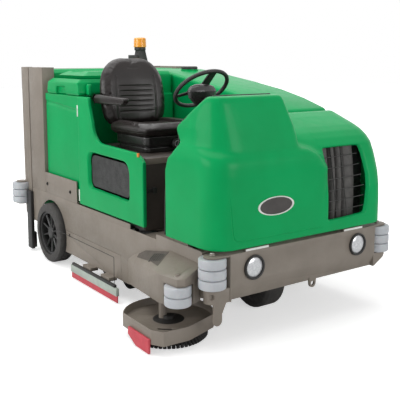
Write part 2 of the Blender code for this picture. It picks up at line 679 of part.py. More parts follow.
def flap_corner():
    """Cuts the lower rear end of the flap off at a slope."""
    x = BRUSH_TIP_X
    return hull([
        (x - 0.05, 0.300, -0.01), (x - 0.05, 0.450, -0.01), (x - 0.05, 0.450, 0.060),
        (x + 0.05, 0.300, -0.01), (x + 0.05, 0.450, -0.01), (x + 0.05, 0.450, 0.060),
    ])


def brush_doors():
    """Doors over the scrub brushes, hinged at their front edge, each with a side squeegee below it."""
    clear = RUN / 2
    for side, word in ((-1, "right"), (1, "left")):
        hinge = pivot(f"brush_door_{word}_axis", (side * HALF_WIDTH, BRUSH_DOOR_FRONT + PIN_GAP, 0.2))
        front, top = BRUSH_DOOR_FRONT + PIN_GAP, BRUSH_DOOR_TOP - clear
        outline = [(front, SKIRT_LOW), (AXLE_Y - 0.01, SKIRT_LOW), (AXLE_Y - 0.01, top), (front, top)]
        inner, outer = side * (HALF_WIDTH - PLATE), side * HALF_WIDTH
        panel = plate("x", outline, *sorted((inner, outer)))
        near, far = side * (HALF_WIDTH - REACH), side * (HALF_WIDTH + REACH)
        arch = rod((near, AXLE_Y, WHEEL_RADIUS), (far, AXLE_Y, WHEEL_RADIUS), ARCH_RADIUS, 32)
        latch = block(*ordered((near, 1.820, 0.258), (far, 1.842, 0.282)))
        bar_in, bar_out = HALF_WIDTH + SIDE_SQUEEGEE_PROUD - 0.012, HALF_WIDTH + SIDE_SQUEEGEE_PROUD + 0.012
        links = []
        for middle in (1.180, 1.450):
            low = (side * (HALF_WIDTH - PLATE), middle - 0.060, 0.112)
            links.append(block(*ordered(low, (side * (bar_in - TOUCH), middle + 0.060, SKIRT_LOW + 0.006))))
            low = (side * (bar_in - 0.010), middle - 0.060, 0.070)
            links.append(block(*ordered(low, (side * (bar_in - TOUCH), middle + 0.060, SKIRT_LOW))))
        piece(f"main_brush_door_{word}", TAUPE, panel, links, [arch, latch], carrier=hinge)
        bar = [
            (side * bar_in, 0.105), (side * bar_out, 0.105), (side * bar_out, 0.052),
            (side * bar_in, 0.052),
        ]
        blade = [
            (side * (bar_in + 0.006), 0.054), (side * (bar_out - 0.006), 0.054),
            (side * (bar_out - 0.002), BLADE_CLEAR), (side * (bar_in + 0.010), BLADE_CLEAR),
        ]
        piece(
            f"side_squeegee_{word}", RED, plate("y", bar, SIDE_SQUEEGEE_FRONT, SIDE_SQUEEGEE_REAR),
            [plate("y", blade, SIDE_SQUEEGEE_FRONT, SIDE_SQUEEGEE_REAR)], carrier=hinge,
        )


def scrub_head():
    """Steel housing that rises and falls on four rods, with two cylindrical brushes across it."""
    lift = pivot("scrub_head_axis", (0, (HEAD_FRONT + HEAD_REAR) / 2, HEAD_TOP))
    top = block((-HEAD_HALF, HEAD_FRONT, HEAD_TOP - PLATE), (HEAD_HALF, HEAD_REAR, HEAD_TOP))
    rail_low = DECK_LOW - 0.05
    axis_z = BRUSH_RADIUS + BLADE_CLEAR
    parts = []
    for side in (-1, 1):
        low = (side * (HEAD_HALF - PLATE), HEAD_FRONT, 0.060)
        parts.append(block(*ordered(low, (side * HEAD_HALF, HEAD_REAR, HEAD_TOP - 0.002))))
    parts.append(
        block(
            (-HEAD_HALF + 0.002, HEAD_FRONT, 0.190),
            (HEAD_HALF - 0.002, HEAD_FRONT + PLATE, HEAD_TOP - 0.002),
        )
    )
    for x, y in head_guides():
        parts.append(rod((x, y, HEAD_TOP - 0.004), (x, y, rail_low + 0.014), 0.016))
    holes = [
        rod((-0.7, y, axis_z), (0.7, y, axis_z), SHAFT_RADIUS + PIN_GAP * 2)
        for y in (BRUSH_FRONT_Y, BRUSH_REAR_Y)
    ]
    piece("scrub_head_frame", DARK_STEEL, top, parts, holes, carrier=lift)
    inside = HEAD_HALF - PLATE - RUN
    for y, word in ((BRUSH_FRONT_Y, "front"), (BRUSH_REAR_Y, "rear")):
        spin = pivot(f"scrub_brush_{word}_axis", (0, y, axis_z))
        profile = [
            (0, HEAD_HALF), (SHAFT_RADIUS, HEAD_HALF), (SHAFT_RADIUS, inside), (BRUSH_RADIUS, inside),
        ]
        profile += [(radius, -height) for radius, height in reversed(profile)]
        piece(f"scrub_brush_{word}", BRISTLE, turned(profile, (0, y, axis_z), (1, 0, 0), 24), carrier=spin)


def rear_squeegee():
    """Squeegee across the back, on two arms that swing up behind the axle."""
    py, pz = SQUEEGEE_PIVOT
    swing = pivot("rear_squeegee_axis", (0, py, pz))
    y, low, top = SQUEEGEE_Y, 0.060, 0.110
    beam = block((-SQUEEGEE_HALF, y - 0.020, low), (SQUEEGEE_HALF, y + 0.020, top))
    parts = []
    for side in (-1, 1):
        arm = [
            (py - 0.022, pz), (py, pz + 0.022), (py + 0.022, pz), (y - 0.005, top - 0.005),
            (y - 0.005, low + 0.01),
        ]
        parts.append(plate("x", arm, *sorted((side * 0.268, side * 0.292))))
    holes = [rod((-0.32, py, pz), (0.32, py, pz), 0.010 + PIN_GAP, 12)]
    piece("rear_squeegee_frame", DARK_STEEL, beam, parts, holes, carrier=swing)
    blade = [
        (y - 0.006, low - TOUCH), (y + 0.006, low - TOUCH), (y + 0.004, BLADE_CLEAR),
        (y - 0.004, BLADE_CLEAR),
    ]
    piece("rear_squeegee_blade", RED, plate("x", blade, -SQUEEGEE_HALF, SQUEEGEE_HALF), carrier=swing)


def masts():
    """Tall channels that the hopper's carriage runs in, and the guard posts for the squeegee below them."""
    low = SEAM_Z + TOUCH
    for side, word in ((-1, "right"), (1, "left")):
        inner = HALF_WIDTH - MAST_WIDTH
        column = block(*ordered((side * inner, MAST_FRONT, low), (side * HALF_WIDTH, MAST_REAR, MAST_TOP)))
        corner = (side * (inner + PLATE), MAST_FRONT + 0.040, low - 0.01)
        channel = block(*ordered(corner, (side * (HALF_WIDTH - PLATE), MAST_REAR + 0.1, MAST_TOP - PLATE)))
        piece(f"mast_{word}", TAUPE, column, cut=[channel])
        guard_in = HALF_WIDTH + TOUCH
        guard_y = MAST_REAR - 0.015
        post = block(
            *ordered((side * guard_in, guard_y, 0.020), (side * (guard_in + 0.026), guard_y + 0.085, 0.500))
        )
        foot = block(
            *ordered(
                (side * (guard_in - 0.03), guard_y + 0.03, 0.022),
                (side * (guard_in + 0.01), guard_y + 0.083, 0.150),
            )
        )
        piece(f"squeegee_guard_{word}", DARK_STEEL, post, [foot])


def hopper():
    """Debris hopper that rides up the masts on a carriage and tips over its upper rear edge."""
    lift = pivot("hopper_lift_axis", (0, MAST_REAR, HOPPER_LOW))
    post_low, post_top = 0.300, DUMP_PIVOT_Z + 0.085
    inner = HALF_WIDTH - MAST_WIDTH + 0.006
    tube_z = DUMP_PIVOT_Z + 0.055
    parts, cuts, pins = [], [], []
    roller_top = REAR_ROLLER_Z + 3 * ROLLER_DISC + 2 * ROLLER_GROOVE
    for side in (-1, 1):
        skin = HALF_WIDTH - TOUCH
        parts.append(beside(side, (skin - PLATE, POST_FRONT, post_low), (skin, POST_REAR, post_top)))
        parts.append(beside(side, (inner, POST_REAR - PLATE, post_low), (skin, POST_REAR, post_top)))
        tie_top = (skin - 0.002, POST_FRONT + PLATE, TIE_LOW + 0.270)
        parts.append(beside(side, (inner, POST_FRONT, TIE_LOW), tie_top))
        guide = HALF_WIDTH - MAST_WIDTH + PLATE + PIN_GAP
        parts.append(
            beside(
                side, (guide, MAST_FRONT + 0.060, 0.600),
                (skin - PLATE - PIN_GAP, POST_FRONT + 0.004, 0.800),
            )
        )
        x = side * REAR_ROLLER_X
        clear = ROLLER_RADIUS + RUN
        cuts.append(
            rod(
                (x, REAR_ROLLER_Y, REAR_ROLLER_Z - RUN / 2), (x, REAR_ROLLER_Y, roller_top + RUN / 2),
                clear, 20,
            )
        )
        back = side * (HALF_WIDTH - 0.030)
        for low, high in (
            (REAR_ROLLER_Z - RUN / 2 - EAR, REAR_ROLLER_Z - RUN / 2),
            (roller_top + RUN / 2, roller_top + RUN / 2 + EAR),
        ):
            lobe = arc((x, REAR_ROLLER_Y), 0.045, 0, 360, 12)[:-1]
            root = [(back, POST_REAR - 0.045), (back, POST_REAR - PLATE / 2), (x, REAR_ROLLER_Y)]
            reach = [(a, b, c) for a, b in lobe + root for c in (low, high)]
            parts.append(hull(reach))
        pins.append(
            rod(
                (x, REAR_ROLLER_Y, REAR_ROLLER_Z - 0.012), (x, REAR_ROLLER_Y, roller_top + 0.012),
                PIN_RADIUS,
            )
        )
        parts.append(
            rod(
                (side * (HOPPER_HALF + RUN / 2), DUMP_Y, DUMP_PIVOT_Z),
                (side * (skin - 0.004), DUMP_Y, DUMP_PIVOT_Z), 0.030, 16,
            )
        )
        parts.append(
            rod(
                (side * (HOPPER_HALF - 0.030), DUMP_Y, DUMP_PIVOT_Z),
                (side * (HOPPER_HALF + 0.02), DUMP_Y, DUMP_PIVOT_Z), 0.014, 16,
            )
        )
    tube = rod(
        (-(HALF_WIDTH - 0.004), POST_REAR - 0.020, tube_z), (HALF_WIDTH - 0.004, POST_REAR - 0.020, tube_z),
        0.016,
    )
    piece("hopper_carriage", TAUPE, tube, parts, cuts, added=pins, carrier=lift)
    for side, word in ((-1, "right"), (1, "left")):
        name = f"wall_rollers_rear_{word}"
        wall_rollers(name, side * REAR_ROLLER_X, REAR_ROLLER_Y, REAR_ROLLER_Z, ROLLER_RADIUS, 3)
    dump = pivot("hopper_dump_axis", (0, DUMP_Y, DUMP_PIVOT_Z))
    shell = [
        (HOPPER_FRONT, HOPPER_LOW), (HOPPER_REAR, HOPPER_LOW + 0.05), (HOPPER_REAR, HOPPER_TOP - 0.06),
        (HOPPER_REAR - 0.06, HOPPER_TOP), (HOPPER_FRONT + 0.03, HOPPER_TOP),
        (HOPPER_FRONT, HOPPER_TOP - 0.03),
    ]
    wall = HOPPER_WALL
    inside = [
        (HOPPER_FRONT + wall, HOPPER_LOW + wall), (HOPPER_REAR - wall, HOPPER_LOW + 0.05 + wall),
        (HOPPER_REAR - wall, HOPPER_TOP - 0.10),
        (HOPPER_REAR - 0.09, HOPPER_TOP - wall), (HOPPER_FRONT + 0.035, HOPPER_TOP - wall),
        (HOPPER_FRONT + wall, HOPPER_TOP - 0.06),
    ]
    mouth = block(
        (-HOPPER_HALF + 0.04, HOPPER_FRONT - 0.05, HOPPER_LOW + 0.02),
        (HOPPER_HALF - 0.04, HOPPER_FRONT + 0.05, HOPPER_LOW + 0.26),
    )
    sockets = rod((-HALF_WIDTH, DUMP_Y, DUMP_PIVOT_Z), (HALF_WIDTH, DUMP_Y, DUMP_PIVOT_Z), 0.014 + PIN_GAP)
    piece(
        "debris_hopper", GREEN, plate("x", shell, -HOPPER_HALF, HOPPER_HALF),
        cut=[plate("x", inside, -HOPPER_HALF + wall, HOPPER_HALF - wall), mouth, sockets], carrier=dump,
    )


HOPPER_HALF = HALF_WIDTH - MAST_WIDTH - 0.006
DUMP_Y = HOPPER_REAR - 0.045


def recovery_tank():
    """Moulded tank behind the seat on the right, open under its hinged lid, with a fixed dome beside the lid."""
    side = HALF_WIDTH - PLATE - TOUCH
    low = SEAM_Z + TOUCH * 2 + 0.012
    tank = block((-side, TANK_FRONT, low), (RECOVERY_INNER, TANK_REAR, TANK_TOP))
    foot = block(
        (-side - 0.02, TANK_FRONT - 0.01, low - 0.01),
        (RECOVERY_INNER + 0.01, TANK_FRONT + 0.03 - TOUCH + 0.0006, low + 0.001),
    )
    dome = block(
        (LID_INNER + RUN, TANK_FRONT + 0.02, TANK_TOP - 0.002), (RECOVERY_INNER, TANK_REAR, LID_TOP),
    )
    wall = TANK_WALL
    hollow = block(
        (-side + wall, TANK_FRONT + wall, low + wall), (LID_INNER - 0.03, TANK_REAR - wall, TANK_TOP + 0.1),
    )
    piece("recovery_tank", GREEN, tank, [dome], [foot, hollow])
    hinge = pivot("recovery_lid_axis", (LID_INNER, 0, LID_TOP))
    lip = 0.006
    x0, x1, y0, y1 = -side - lip, LID_INNER, TANK_FRONT - 0.030, TANK_REAR - 0.065
    bottom = TANK_TOP + TOUCH
    shell = hull([
        (x, y, z) for z, inset in ((bottom, 0), (LID_TOP - 0.040, 0), (LID_TOP, 0.035))
        for x in (x0 + inset, x1) for y in (y0 + inset, y1 - inset)
    ])
    inset = LID_WALL
    inner = block(
        (x0 + inset + 0.02, y0 + inset + 0.02, bottom - 0.01),
        (x1 - inset, y1 - inset - 0.02, LID_TOP - 0.030),
    )
    grip = block((x0 - 0.01, 1.860, bottom - 0.01), (x0 + 0.018, 1.960, bottom + 0.032))
    piece("recovery_tank_lid", GREEN, shell, cut=[inner, grip], carrier=hinge)


def solution_tank():
    """Moulded tank along the whole left side, sloping down towards the driver's view, with its filler cap."""
    out, inner = HALF_WIDTH - PLATE - TOUCH, SOLUTION_INNER
    low = SEAM_Z + TOUCH * 2 + 0.012
    top = [
        (2.230, 1.490), (1.970, 1.486), (1.730, 1.468), (1.560, 1.441), (1.280, 1.404), (0.960, 1.355),
        (0.730, 1.304), (0.510, 1.240),
    ]
    shape = [(SHROUD_REAR + 0.004, low), (TANK_REAR, low)] + top
    cap_y, cap_z = 1.860, 1.474
    seat = rod((0.44, cap_y, cap_z - 0.02), (0.44, cap_y, cap_z + 0.012), 0.070, 20)
    notch = block((inner - 0.01, 0.45, low - 0.01), (RAIL_OUT + 0.02, SUPPORT_FRONT + 0.01, DECK_Z + 0.02))
    mouth = rod((0.44, cap_y, 1.36), (0.44, cap_y, 1.6), 0.045, 20)
    piece("solution_tank", GREEN, plate("x", shape, inner, out), [seat], [notch, mouth])
    hinge = pivot("solution_cap_axis", (0.44, cap_y + 0.072, cap_z + 0.021))
    profile = [
        (0, 0), (0.040, 0), (0.040, 0.012 + TOUCH), (0.066, 0.012 + TOUCH), (0.066, 0.030), (0.058, 0.036),
        (0, 0.036),
    ]
    piece("solution_tank_cap", BLACK, turned(profile, (0.44, cap_y, cap_z), sides=20), carrier=hinge)


def level_ring(level, front, right, left, rear, inset):
    """Corners of a level outline whose two front corners are rounded, drawn in by an inset."""
    front, right, left = front + inset, right + inset, left - inset
    right_radius = max(min(SHROUD_RIGHT_RADIUS - inset, rear - front - 0.010), 0.010)
    left_radius = max(min(SHROUD_LEFT_RADIUS - inset, rear - front - 0.010), 0.010)
    outline = [(right, rear)] + arc((right + right_radius, front + right_radius), right_radius, 180, 270, 6)
    outline += arc((left - left_radius, front + left_radius), left_radius, 270, 360, 5) + [(left, rear)]
    return [(x, y, level) for x, y in outline]


def cover(rings, inset=0.0):
    """A rounded solid through level outlines, from the lowest up. An inset makes its hollow."""
    points = []
    for number, (level, front, right, left, rear) in enumerate(rings):
        if inset and number == 0:
            level -= 0.100
        if inset and number == len(rings) - 1:
            level -= inset
        points += level_ring(level, front, right, left, rear + (0.100 if inset else 0), inset)
    return hull(points)


WING_REAR = SHROUD_REAR - 0.012
WING = [
    (level, front, -0.100, SHROUD_LEFT - drawn, WING_REAR) for level, front, drawn in (
        (SHROUD_LOW, SHROUD_FRONT, 0), (0.800, SHROUD_FRONT, 0), (0.932, 0.028, 0), (1.059, 0.073, 0.006),
        (1.133, 0.154, 0.014), (1.185, 0.279, 0.020), (1.232, 0.423, 0.026),
    )
]


def front_shroud():
    """Moulded front cover, open at the back, with a raised cowl in front of the driver and a grille opening."""
    low, front, rear = SHROUD_LOW, SHROUD_FRONT, SHROUD_REAR - 0.012
    right = SHROUD_RIGHT
    corner = [
        (low, front, right, 0.120, rear), (0.930, front, right, 0.120, rear),
        (1.000, front + 0.010, right, 0.056, 0.455),
        (1.050, front + 0.050, right + 0.010, -0.026, 0.440),
        (1.120, front + 0.190, right + 0.026, -0.100, 0.430),
    ]
    cowl = [
        (0.950, front + 0.005, right + 0.018, 0.050, 0.450), (1.050, 0.030, right + 0.021, 0.010, 0.440),
        (1.203, 0.060, right + 0.024, -0.080, 0.400), (1.290, 0.078, right + 0.026, -0.110, 0.262),
        (1.345, 0.092, right + 0.028, -0.138, 0.170), (COWL_TOP, 0.118, right + 0.050, -0.160, 0.150),
    ]
    wall = SHROUD_WALL
    inner_corner = [(z, y, x0, min(x1, wall * 2), y1) for z, y, x0, x1, y1 in corner]
    hollows = [cover(rings, wall) for rings in (inner_corner, WING, cowl)]
    hole = plate("y", grille_outline(0), front - 0.05, front + 0.15)
    dash = block((DASH_RIGHT - RUN, DASH_FRONT - RUN, 0.900), (DASH_LEFT + RUN, rear + 0.1, 1.500))
    notch = plate(
        "x", [(0.420, 1.196), (0.356, 1.108), (0.460, 1.010), (0.600, 1.010), (0.600, 1.196)],
        right - REACH, DASH_LEFT,
    )
    piece("front_shroud", GREEN, cover(corner), [cover(WING), cover(cowl)], hollows + [hole, dash, notch])


def grille_outline(inset):
    """The grille's four corners as (x, z), drawn in by an inset."""
    return [
        (0.160 + inset, 0.626 + inset), (0.442 - inset, 0.642 + inset), (0.470 - inset, 1.043 - inset),
        (0.168 + inset, 1.043 - inset),
    ]


def cooling():
    """Grille with level bars in the shroud's opening, and the radiator with its fan shroud behind it."""
    frame = plate("y", grille_outline(2 * TOUCH), SHROUD_FRONT - 0.020, 0.085)
    hole = plate("y", grille_outline(0.014), SHROUD_FRONT - 0.050, 0.100)
    bars = []
    (low_right, low), (low_left, _), (high_left, high), (high_right, _) = grille_outline(0.008)
    for number in range(6):
        z = 0.668 + 0.065 * number
        share = (z - low) / (high - low)
        y = SHROUD_FRONT + 0.010 + max(0, 0.35 * (z - 0.800))
        right, left = low_right + share * (
            high_right - low_right
        ), low_left + share * (high_left - low_left)
        bars.append(rod((right, y, z), (left, y, z), 0.004, 6))
    piece("radiator_grille", BLACK, frame, cut=[hole], within=[cover(WING)], added=bars)
    core = block((0.100, 0.160, DECK_Z + TOUCH), (0.560, 0.230, 1.000))
    fan = rod((0.330, 0.228, 0.740), (0.330, 0.270, 0.740), 0.190, 24)
    piece("radiator", DARK_STEEL, core, [fan])


def engine():
    """Engine block with its sump and manifold, in the bay under the seat."""
    low = DECK_LOW + 0.027 + TOUCH
    base = block((-0.420, 0.950, low), (0.060, 1.480, 0.640))
    parts = [
        block((-0.330, 1.000, 0.630), (-0.030, 1.430, 0.800)),
        rod((-0.180, 0.900, 0.660), (-0.180, 0.960, 0.660), 0.090, 20),
        rod((-0.400, 1.050, 0.720), (-0.400, 1.400, 0.720), 0.035, 12),
        block((-0.400, 1.080, 0.690), (-0.320, 1.370, 0.750)),
    ]
    piece("engine_block", DARK_STEEL, base, parts)


def seat_support():
    """Steel box over the engine that carries the seat, open below and where the side door closes it."""
    out = HALF_WIDTH - PLATE - DOOR_THICK - RUN
    low = DECK_LOW + 0.027 + TOUCH
    rear = TANK_FRONT - 0.035
    outer = block((-out, SUPPORT_FRONT, low), (SUPPORT_INNER, rear, SUPPORT_TOP))
    hollow = block(
        (-out - 0.1, SUPPORT_FRONT + PLATE, low - 0.1),
        (SUPPORT_INNER - PLATE, rear - PLATE, SUPPORT_TOP - PLATE),
    )
    piece("seat_support", DARK_STEEL, outer, cut=[hollow])


def engine_door():
    """Thick moulded door over the engine bay, with a screened window, hinged at the tank."""
    out = HALF_WIDTH - 0.005
    inner = out - DOOR_THICK
    rear = TANK_FRONT - PIN_GAP
    low = SEAM_Z + RUN
    hinge = pivot("engine_door_axis", (-out, rear, low))
    elbow = arc((1.300, 1.145), 0.130, 270, 350, 8)
    outline = [
        (DOOR_FRONT, low), (rear, low), (rear, TANK_TOP - 0.002), (rear - DOOR_COLUMN, TANK_TOP - 0.002),
    ]
    outline += list(reversed(elbow)) + [(DOOR_FRONT + 0.045, 0.974), (DOOR_FRONT, 0.930)]
    window = [
        (0.954, 0.690), (1.455, 0.690), (1.479, 0.715), (1.479, 0.850), (1.430, 0.910), (0.985, 0.910),
        (0.954, 0.880),
    ]
    recess = plate("x", window, -out - 0.05, -out + 0.012)
    piece("engine_side_door", GREEN, plate("x", outline, -out, -inner), cut=[recess], carrier=hinge)


def seat():
    """Suspension base, sliding cushion, reclining backrest, folding armrest and the weight knob."""
    x0, x1 = SEAT_X - SEAT_WIDTH / 2, SEAT_X + SEAT_WIDTH / 2
    rear = SEAT_FRONT + SEAT_DEPTH
    base = block(
        (x0 + 0.05, SEAT_FRONT + 0.050, SUPPORT_TOP + TOUCH), (x1 - 0.05, rear - 0.02, CUSHION_LOW - TOUCH),
    )
    piece("seat_base", BLACK, base)
    slide = pivot("seat_slide_axis", (SEAT_X, SEAT_FRONT, CUSHION_LOW))
    front = SEAT_FRONT
    cushion = hull([
        (x, y, z) for x, in_x in ((x0, 1), (x1, -1)) for x, y, z in (
            (x + in_x * 0.02, front + 0.010, CUSHION_LOW), (x, front + 0.060, CUSHION_LOW),
            (x, rear, CUSHION_LOW),
            (x + in_x * 0.03, front, CUSHION_TOP - 0.030), (x, front + 0.060, CUSHION_TOP - 0.020),
            (x, rear, CUSHION_TOP - 0.020),
            (x + in_x * 0.04, front + 0.040, CUSHION_TOP), (x + in_x * 0.03, rear, CUSHION_TOP),
        )
    ])
    foot_y, foot_z = rear + 0.050, CUSHION_LOW + 0.030
    bearing = 0.016
    tongue = block(
        (SEAT_X - 0.150, rear - 0.010, CUSHION_LOW), (SEAT_X + 0.150, foot_y + 0.012, CUSHION_LOW + 0.010),
    )
    upright = block((SEAT_X - 0.150, foot_y - 0.008, CUSHION_LOW), (SEAT_X + 0.150, foot_y + 0.008, foot_z))
    barrel = rod((SEAT_X - 0.150, foot_y, foot_z), (SEAT_X + 0.150, foot_y, foot_z), bearing, 16)
    piece("seat_cushion", SEAT, cushion, [tongue, upright, barrel], carrier=slide)
    recline = pivot("backrest_axis", (SEAT_X, foot_y, foot_z))
    thick, lean = BACK_THICK, BACK_LEAN
    mid_y = rear + 0.012
    socket = rod(
        (SEAT_X - 0.154, foot_y, foot_z), (SEAT_X + 0.154, foot_y, foot_z), bearing + PIN_GAP * 1.5, 16,
    )
    profile = [
        (mid_y, foot_z + 0.004), (mid_y + thick - 0.02, foot_z + 0.004), (mid_y + thick, 1.300),
        (mid_y + lean + 0.045, BACK_TOP - 0.01),
    ]
    profile += [(mid_y + lean, BACK_TOP), (mid_y + lean - 0.030, BACK_TOP - 0.030), (mid_y + 0.010, 1.200)]
    half = SEAT_WIDTH / 2
    face = [
        (SEAT_X - half, CUSHION_LOW - 0.05), (SEAT_X + half, CUSHION_LOW - 0.05),
        (SEAT_X + half, BACK_TOP - 0.180),
    ]
    face += arc((SEAT_X, BACK_TOP - 0.180), half, 15, 165, 10) + [(SEAT_X - half, BACK_TOP - 0.180)]
    backrest = plate("x", profile, SEAT_X - half, SEAT_X + half)
    outline = plate("y", face, mid_y - 0.2, mid_y + 0.4)
    piece("seat_backrest", SEAT, backrest, cut=[socket], within=[outline], carrier=recline)
    arm_y, arm_z = rear + 0.060, 1.300
    arm_pivot = pivot("armrest_axis", (x0 - 0.030, arm_y, arm_z))
    bar = [
        (arm_y - 0.400, arm_z + 0.020), (arm_y - 0.400, arm_z - 0.005), (arm_y - 0.370, arm_z - 0.025),
        (arm_y, arm_z - 0.032), (arm_y + 0.028, arm_z), (arm_y, arm_z + 0.030),
    ]
    boss = rod((x0 - 0.052, arm_y, arm_z), (x0 - TOUCH, arm_y, arm_z), 0.024, 16)
    piece("armrest", BLACK, plate("x", bar, x0 - 0.058, x0 - 0.010), [boss], carrier=arm_pivot)
    knob_y = SEAT_FRONT + 0.050 - TOUCH
    knob = pivot("seat_knob_axis", (SEAT_X + 0.02, knob_y, 1.020))
    outline = [(0, 0), (0.030, 0), (0.034, -0.006), (0.034, -0.026), (0.028, -0.032), (0, -0.032)]
    piece(
        "seat_weight_knob", BLACK, turned(outline, (SEAT_X + 0.02, knob_y, 1.020), (0, 1, 0), 20),
        carrier=knob,
    )


COLUMN_WAY = Vector((0, math.sin(STEER_TILT), math.cos(STEER_TILT)))
HUB = Vector((STEER_X, *STEER_HUB))
COLUMN_FOOT = HUB - COLUMN_WAY * COLUMN_LENGTH


def steering():
    """Dash console, tilting column, steering wheel and horn button."""
    foot = COLUMN_FOOT
    low = DECK_Z + TOUCH
    dash = [
        (0.330, low), (0.400, low), (0.410, 0.900), (0.455, 1.060), (0.462, 1.120), (0.430, 1.175),
        (DASH_FRONT, 1.240), (DASH_FRONT, 1.180), (0.345, 1.050),
    ]
    gap = plate(
        "x", [(0.2, foot.z - 0.055), (0.8, foot.z - 0.055), (0.8, 1.6), (0.2, 1.6)], STEER_X - 0.055,
        STEER_X + 0.055,
    )
    pin = rod((STEER_X - 0.08, foot.y, foot.z), (STEER_X + 0.08, foot.y, foot.z), 0.012, 12)
    piece("dash_console", BLACK, plate("x", dash, DASH_RIGHT, DASH_LEFT), cut=[gap], added=[pin])
    tilt = pivot("column_tilt_axis", foot)
    column = rod(foot, HUB - COLUMN_WAY * 0.012, COLUMN_RADIUS, 16)
    eye = rod((STEER_X - 0.030, foot.y, foot.z), (STEER_X + 0.030, foot.y, foot.z), 0.030, 16)
    collar = rod(foot + COLUMN_WAY * 0.14, foot + COLUMN_WAY * 0.30, 0.036, 16, 0.030)
    hole = rod((STEER_X - 0.08, foot.y, foot.z), (STEER_X + 0.08, foot.y, foot.z), 0.012 + PIN_GAP, 12)
    piece("steering_column", BLACK, column, [eye, collar], [hole], carrier=tilt)
    turn = pivot("steering_wheel_axis", HUB)
    rim = [
        (
            STEER_RADIUS - RIM_RADIUS + RIM_RADIUS * math.cos(a), RIM_RADIUS * math.sin(a),
        ) for a in (math.tau * k / 6 for k in range(6))
    ]
    wheel = turned(rim, HUB, COLUMN_WAY, 28)
    low = -0.030
    hub = [
        (0, low + 0.018 + TOUCH), (0.046, low + 0.018 + TOUCH), (0.052, 0.005), (0.044, 0.012), (0, 0.012),
    ]
    parts = [turned(hub, HUB, COLUMN_WAY, 20)]
    across = Vector((1, 0, 0))
    down = COLUMN_WAY.cross(across)
    for angle in (90, 205, 335):
        way = across * math.cos(math.radians(angle)) - down * math.sin(math.radians(angle))
        parts.append(
            rod(HUB + way * 0.030 - COLUMN_WAY * 0.004, HUB + way * (STEER_RADIUS - 0.012), 0.012, 8)
        )
    cup = rod(HUB + COLUMN_WAY * 0.006, HUB + COLUMN_WAY * 0.03, 0.026 + PIN_GAP, 20)
    piece("steering_wheel", BLACK, wheel, parts, [cup], carrier=turn)
    press = pivot("horn_button_axis", HUB + COLUMN_WAY * 0.012)
    button = rod(HUB + COLUMN_WAY * (0.010 + TOUCH), HUB + COLUMN_WAY * 0.018, 0.026, 20)
    piece("horn_button", BLACK, button, carrier=press)


def pedals():
    """Drive and brake pedals, hinged at their heels on the floor deck."""
    for name, x, width, y in (
        ("drive_pedal", STEER_X + 0.140, 0.080, 0.590), ("brake_pedal", STEER_X - 0.130, 0.070, 0.590),
    ):
        z = DECK_Z + TOUCH + 0.014
        hinge = pivot(f"{name}_axis", (x, y, z))
        pad = [
            (y - 0.006, z + 0.006), (y + 0.006, z), (y, z - 0.006), (y - 0.150, z + 0.075),
            (y - 0.156, z + 0.085),
        ]
        barrel = rod((x - width / 2, y, z), (x + width / 2, y, z), 0.0135, 16)
        piece(name, BLACK, plate("x", pad, x - width / 2, x + width / 2), [barrel], carrier=hinge)


def beacon():
    """Amber warning lamp on a bracket over the tank's dome."""
    x, y = BEACON
    post = hull([
        (x + dx, y + dy, z) for z, grow in ((LID_TOP + TOUCH, 0.055), (BEACON_LOW - 0.020, 0.030))
        for dx in (-grow * 0.8, grow) for dy in (-grow, grow)
    ])
    cap = rod((x, y, BEACON_LOW - 0.024), (x, y, BEACON_LOW - TOUCH), 0.044, 20)
    box = block((x - 0.090, y - 0.020, 1.560), (x - 0.020, y + 0.030, 1.600))
    piece("beacon_post", BLACK, post, [cap, box])
    height = BEACON_TOP - BEACON_LOW
    profile = [
        (0, 0), (BEACON_RADIUS, 0), (BEACON_RADIUS * 0.96, height - 0.008), (BEACON_RADIUS * 0.86, height),
        (0, height),
    ]
    piece("beacon_lens", AMBER, turned(profile, (x, y, BEACON_LOW), sides=24))


front_bumper()
headlights()
floor_deck()
side_skirts()
main_frame()
rear_wheels()
drive_unit()
brush_outrigger()
side_brush()
brush_doors()
scrub_head()
rear_squeegee()
masts()
hopper()
recovery_tank()
solution_tank()
front_shroud()
cooling()
engine()
seat_support()
engine_door()
seat()
steering()
pedals()
beacon()
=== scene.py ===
"""Looks of the ride-on floor scrubber machine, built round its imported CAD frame. Lengths are in metres."""

import json
import math

import bpy
from mathutils import Matrix, Vector

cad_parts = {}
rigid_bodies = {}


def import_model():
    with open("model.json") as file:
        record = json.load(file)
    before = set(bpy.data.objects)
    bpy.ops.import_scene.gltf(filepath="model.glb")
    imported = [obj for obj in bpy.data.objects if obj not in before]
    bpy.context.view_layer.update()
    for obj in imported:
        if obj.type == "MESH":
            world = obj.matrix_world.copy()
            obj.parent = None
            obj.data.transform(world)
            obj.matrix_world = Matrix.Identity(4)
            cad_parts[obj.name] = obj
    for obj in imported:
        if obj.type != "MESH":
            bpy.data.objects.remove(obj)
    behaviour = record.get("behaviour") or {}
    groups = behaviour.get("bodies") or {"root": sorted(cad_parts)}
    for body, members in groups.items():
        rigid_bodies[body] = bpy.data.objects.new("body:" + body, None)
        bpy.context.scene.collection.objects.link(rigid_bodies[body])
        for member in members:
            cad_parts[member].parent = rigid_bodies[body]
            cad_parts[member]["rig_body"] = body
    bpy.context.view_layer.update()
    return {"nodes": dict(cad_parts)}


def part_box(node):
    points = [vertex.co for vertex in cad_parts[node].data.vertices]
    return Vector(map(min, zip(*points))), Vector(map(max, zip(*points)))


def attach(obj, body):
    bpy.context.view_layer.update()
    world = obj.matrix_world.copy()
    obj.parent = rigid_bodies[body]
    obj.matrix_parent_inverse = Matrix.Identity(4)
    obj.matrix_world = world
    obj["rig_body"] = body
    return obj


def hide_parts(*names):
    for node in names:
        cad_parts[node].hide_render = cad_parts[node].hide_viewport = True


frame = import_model()

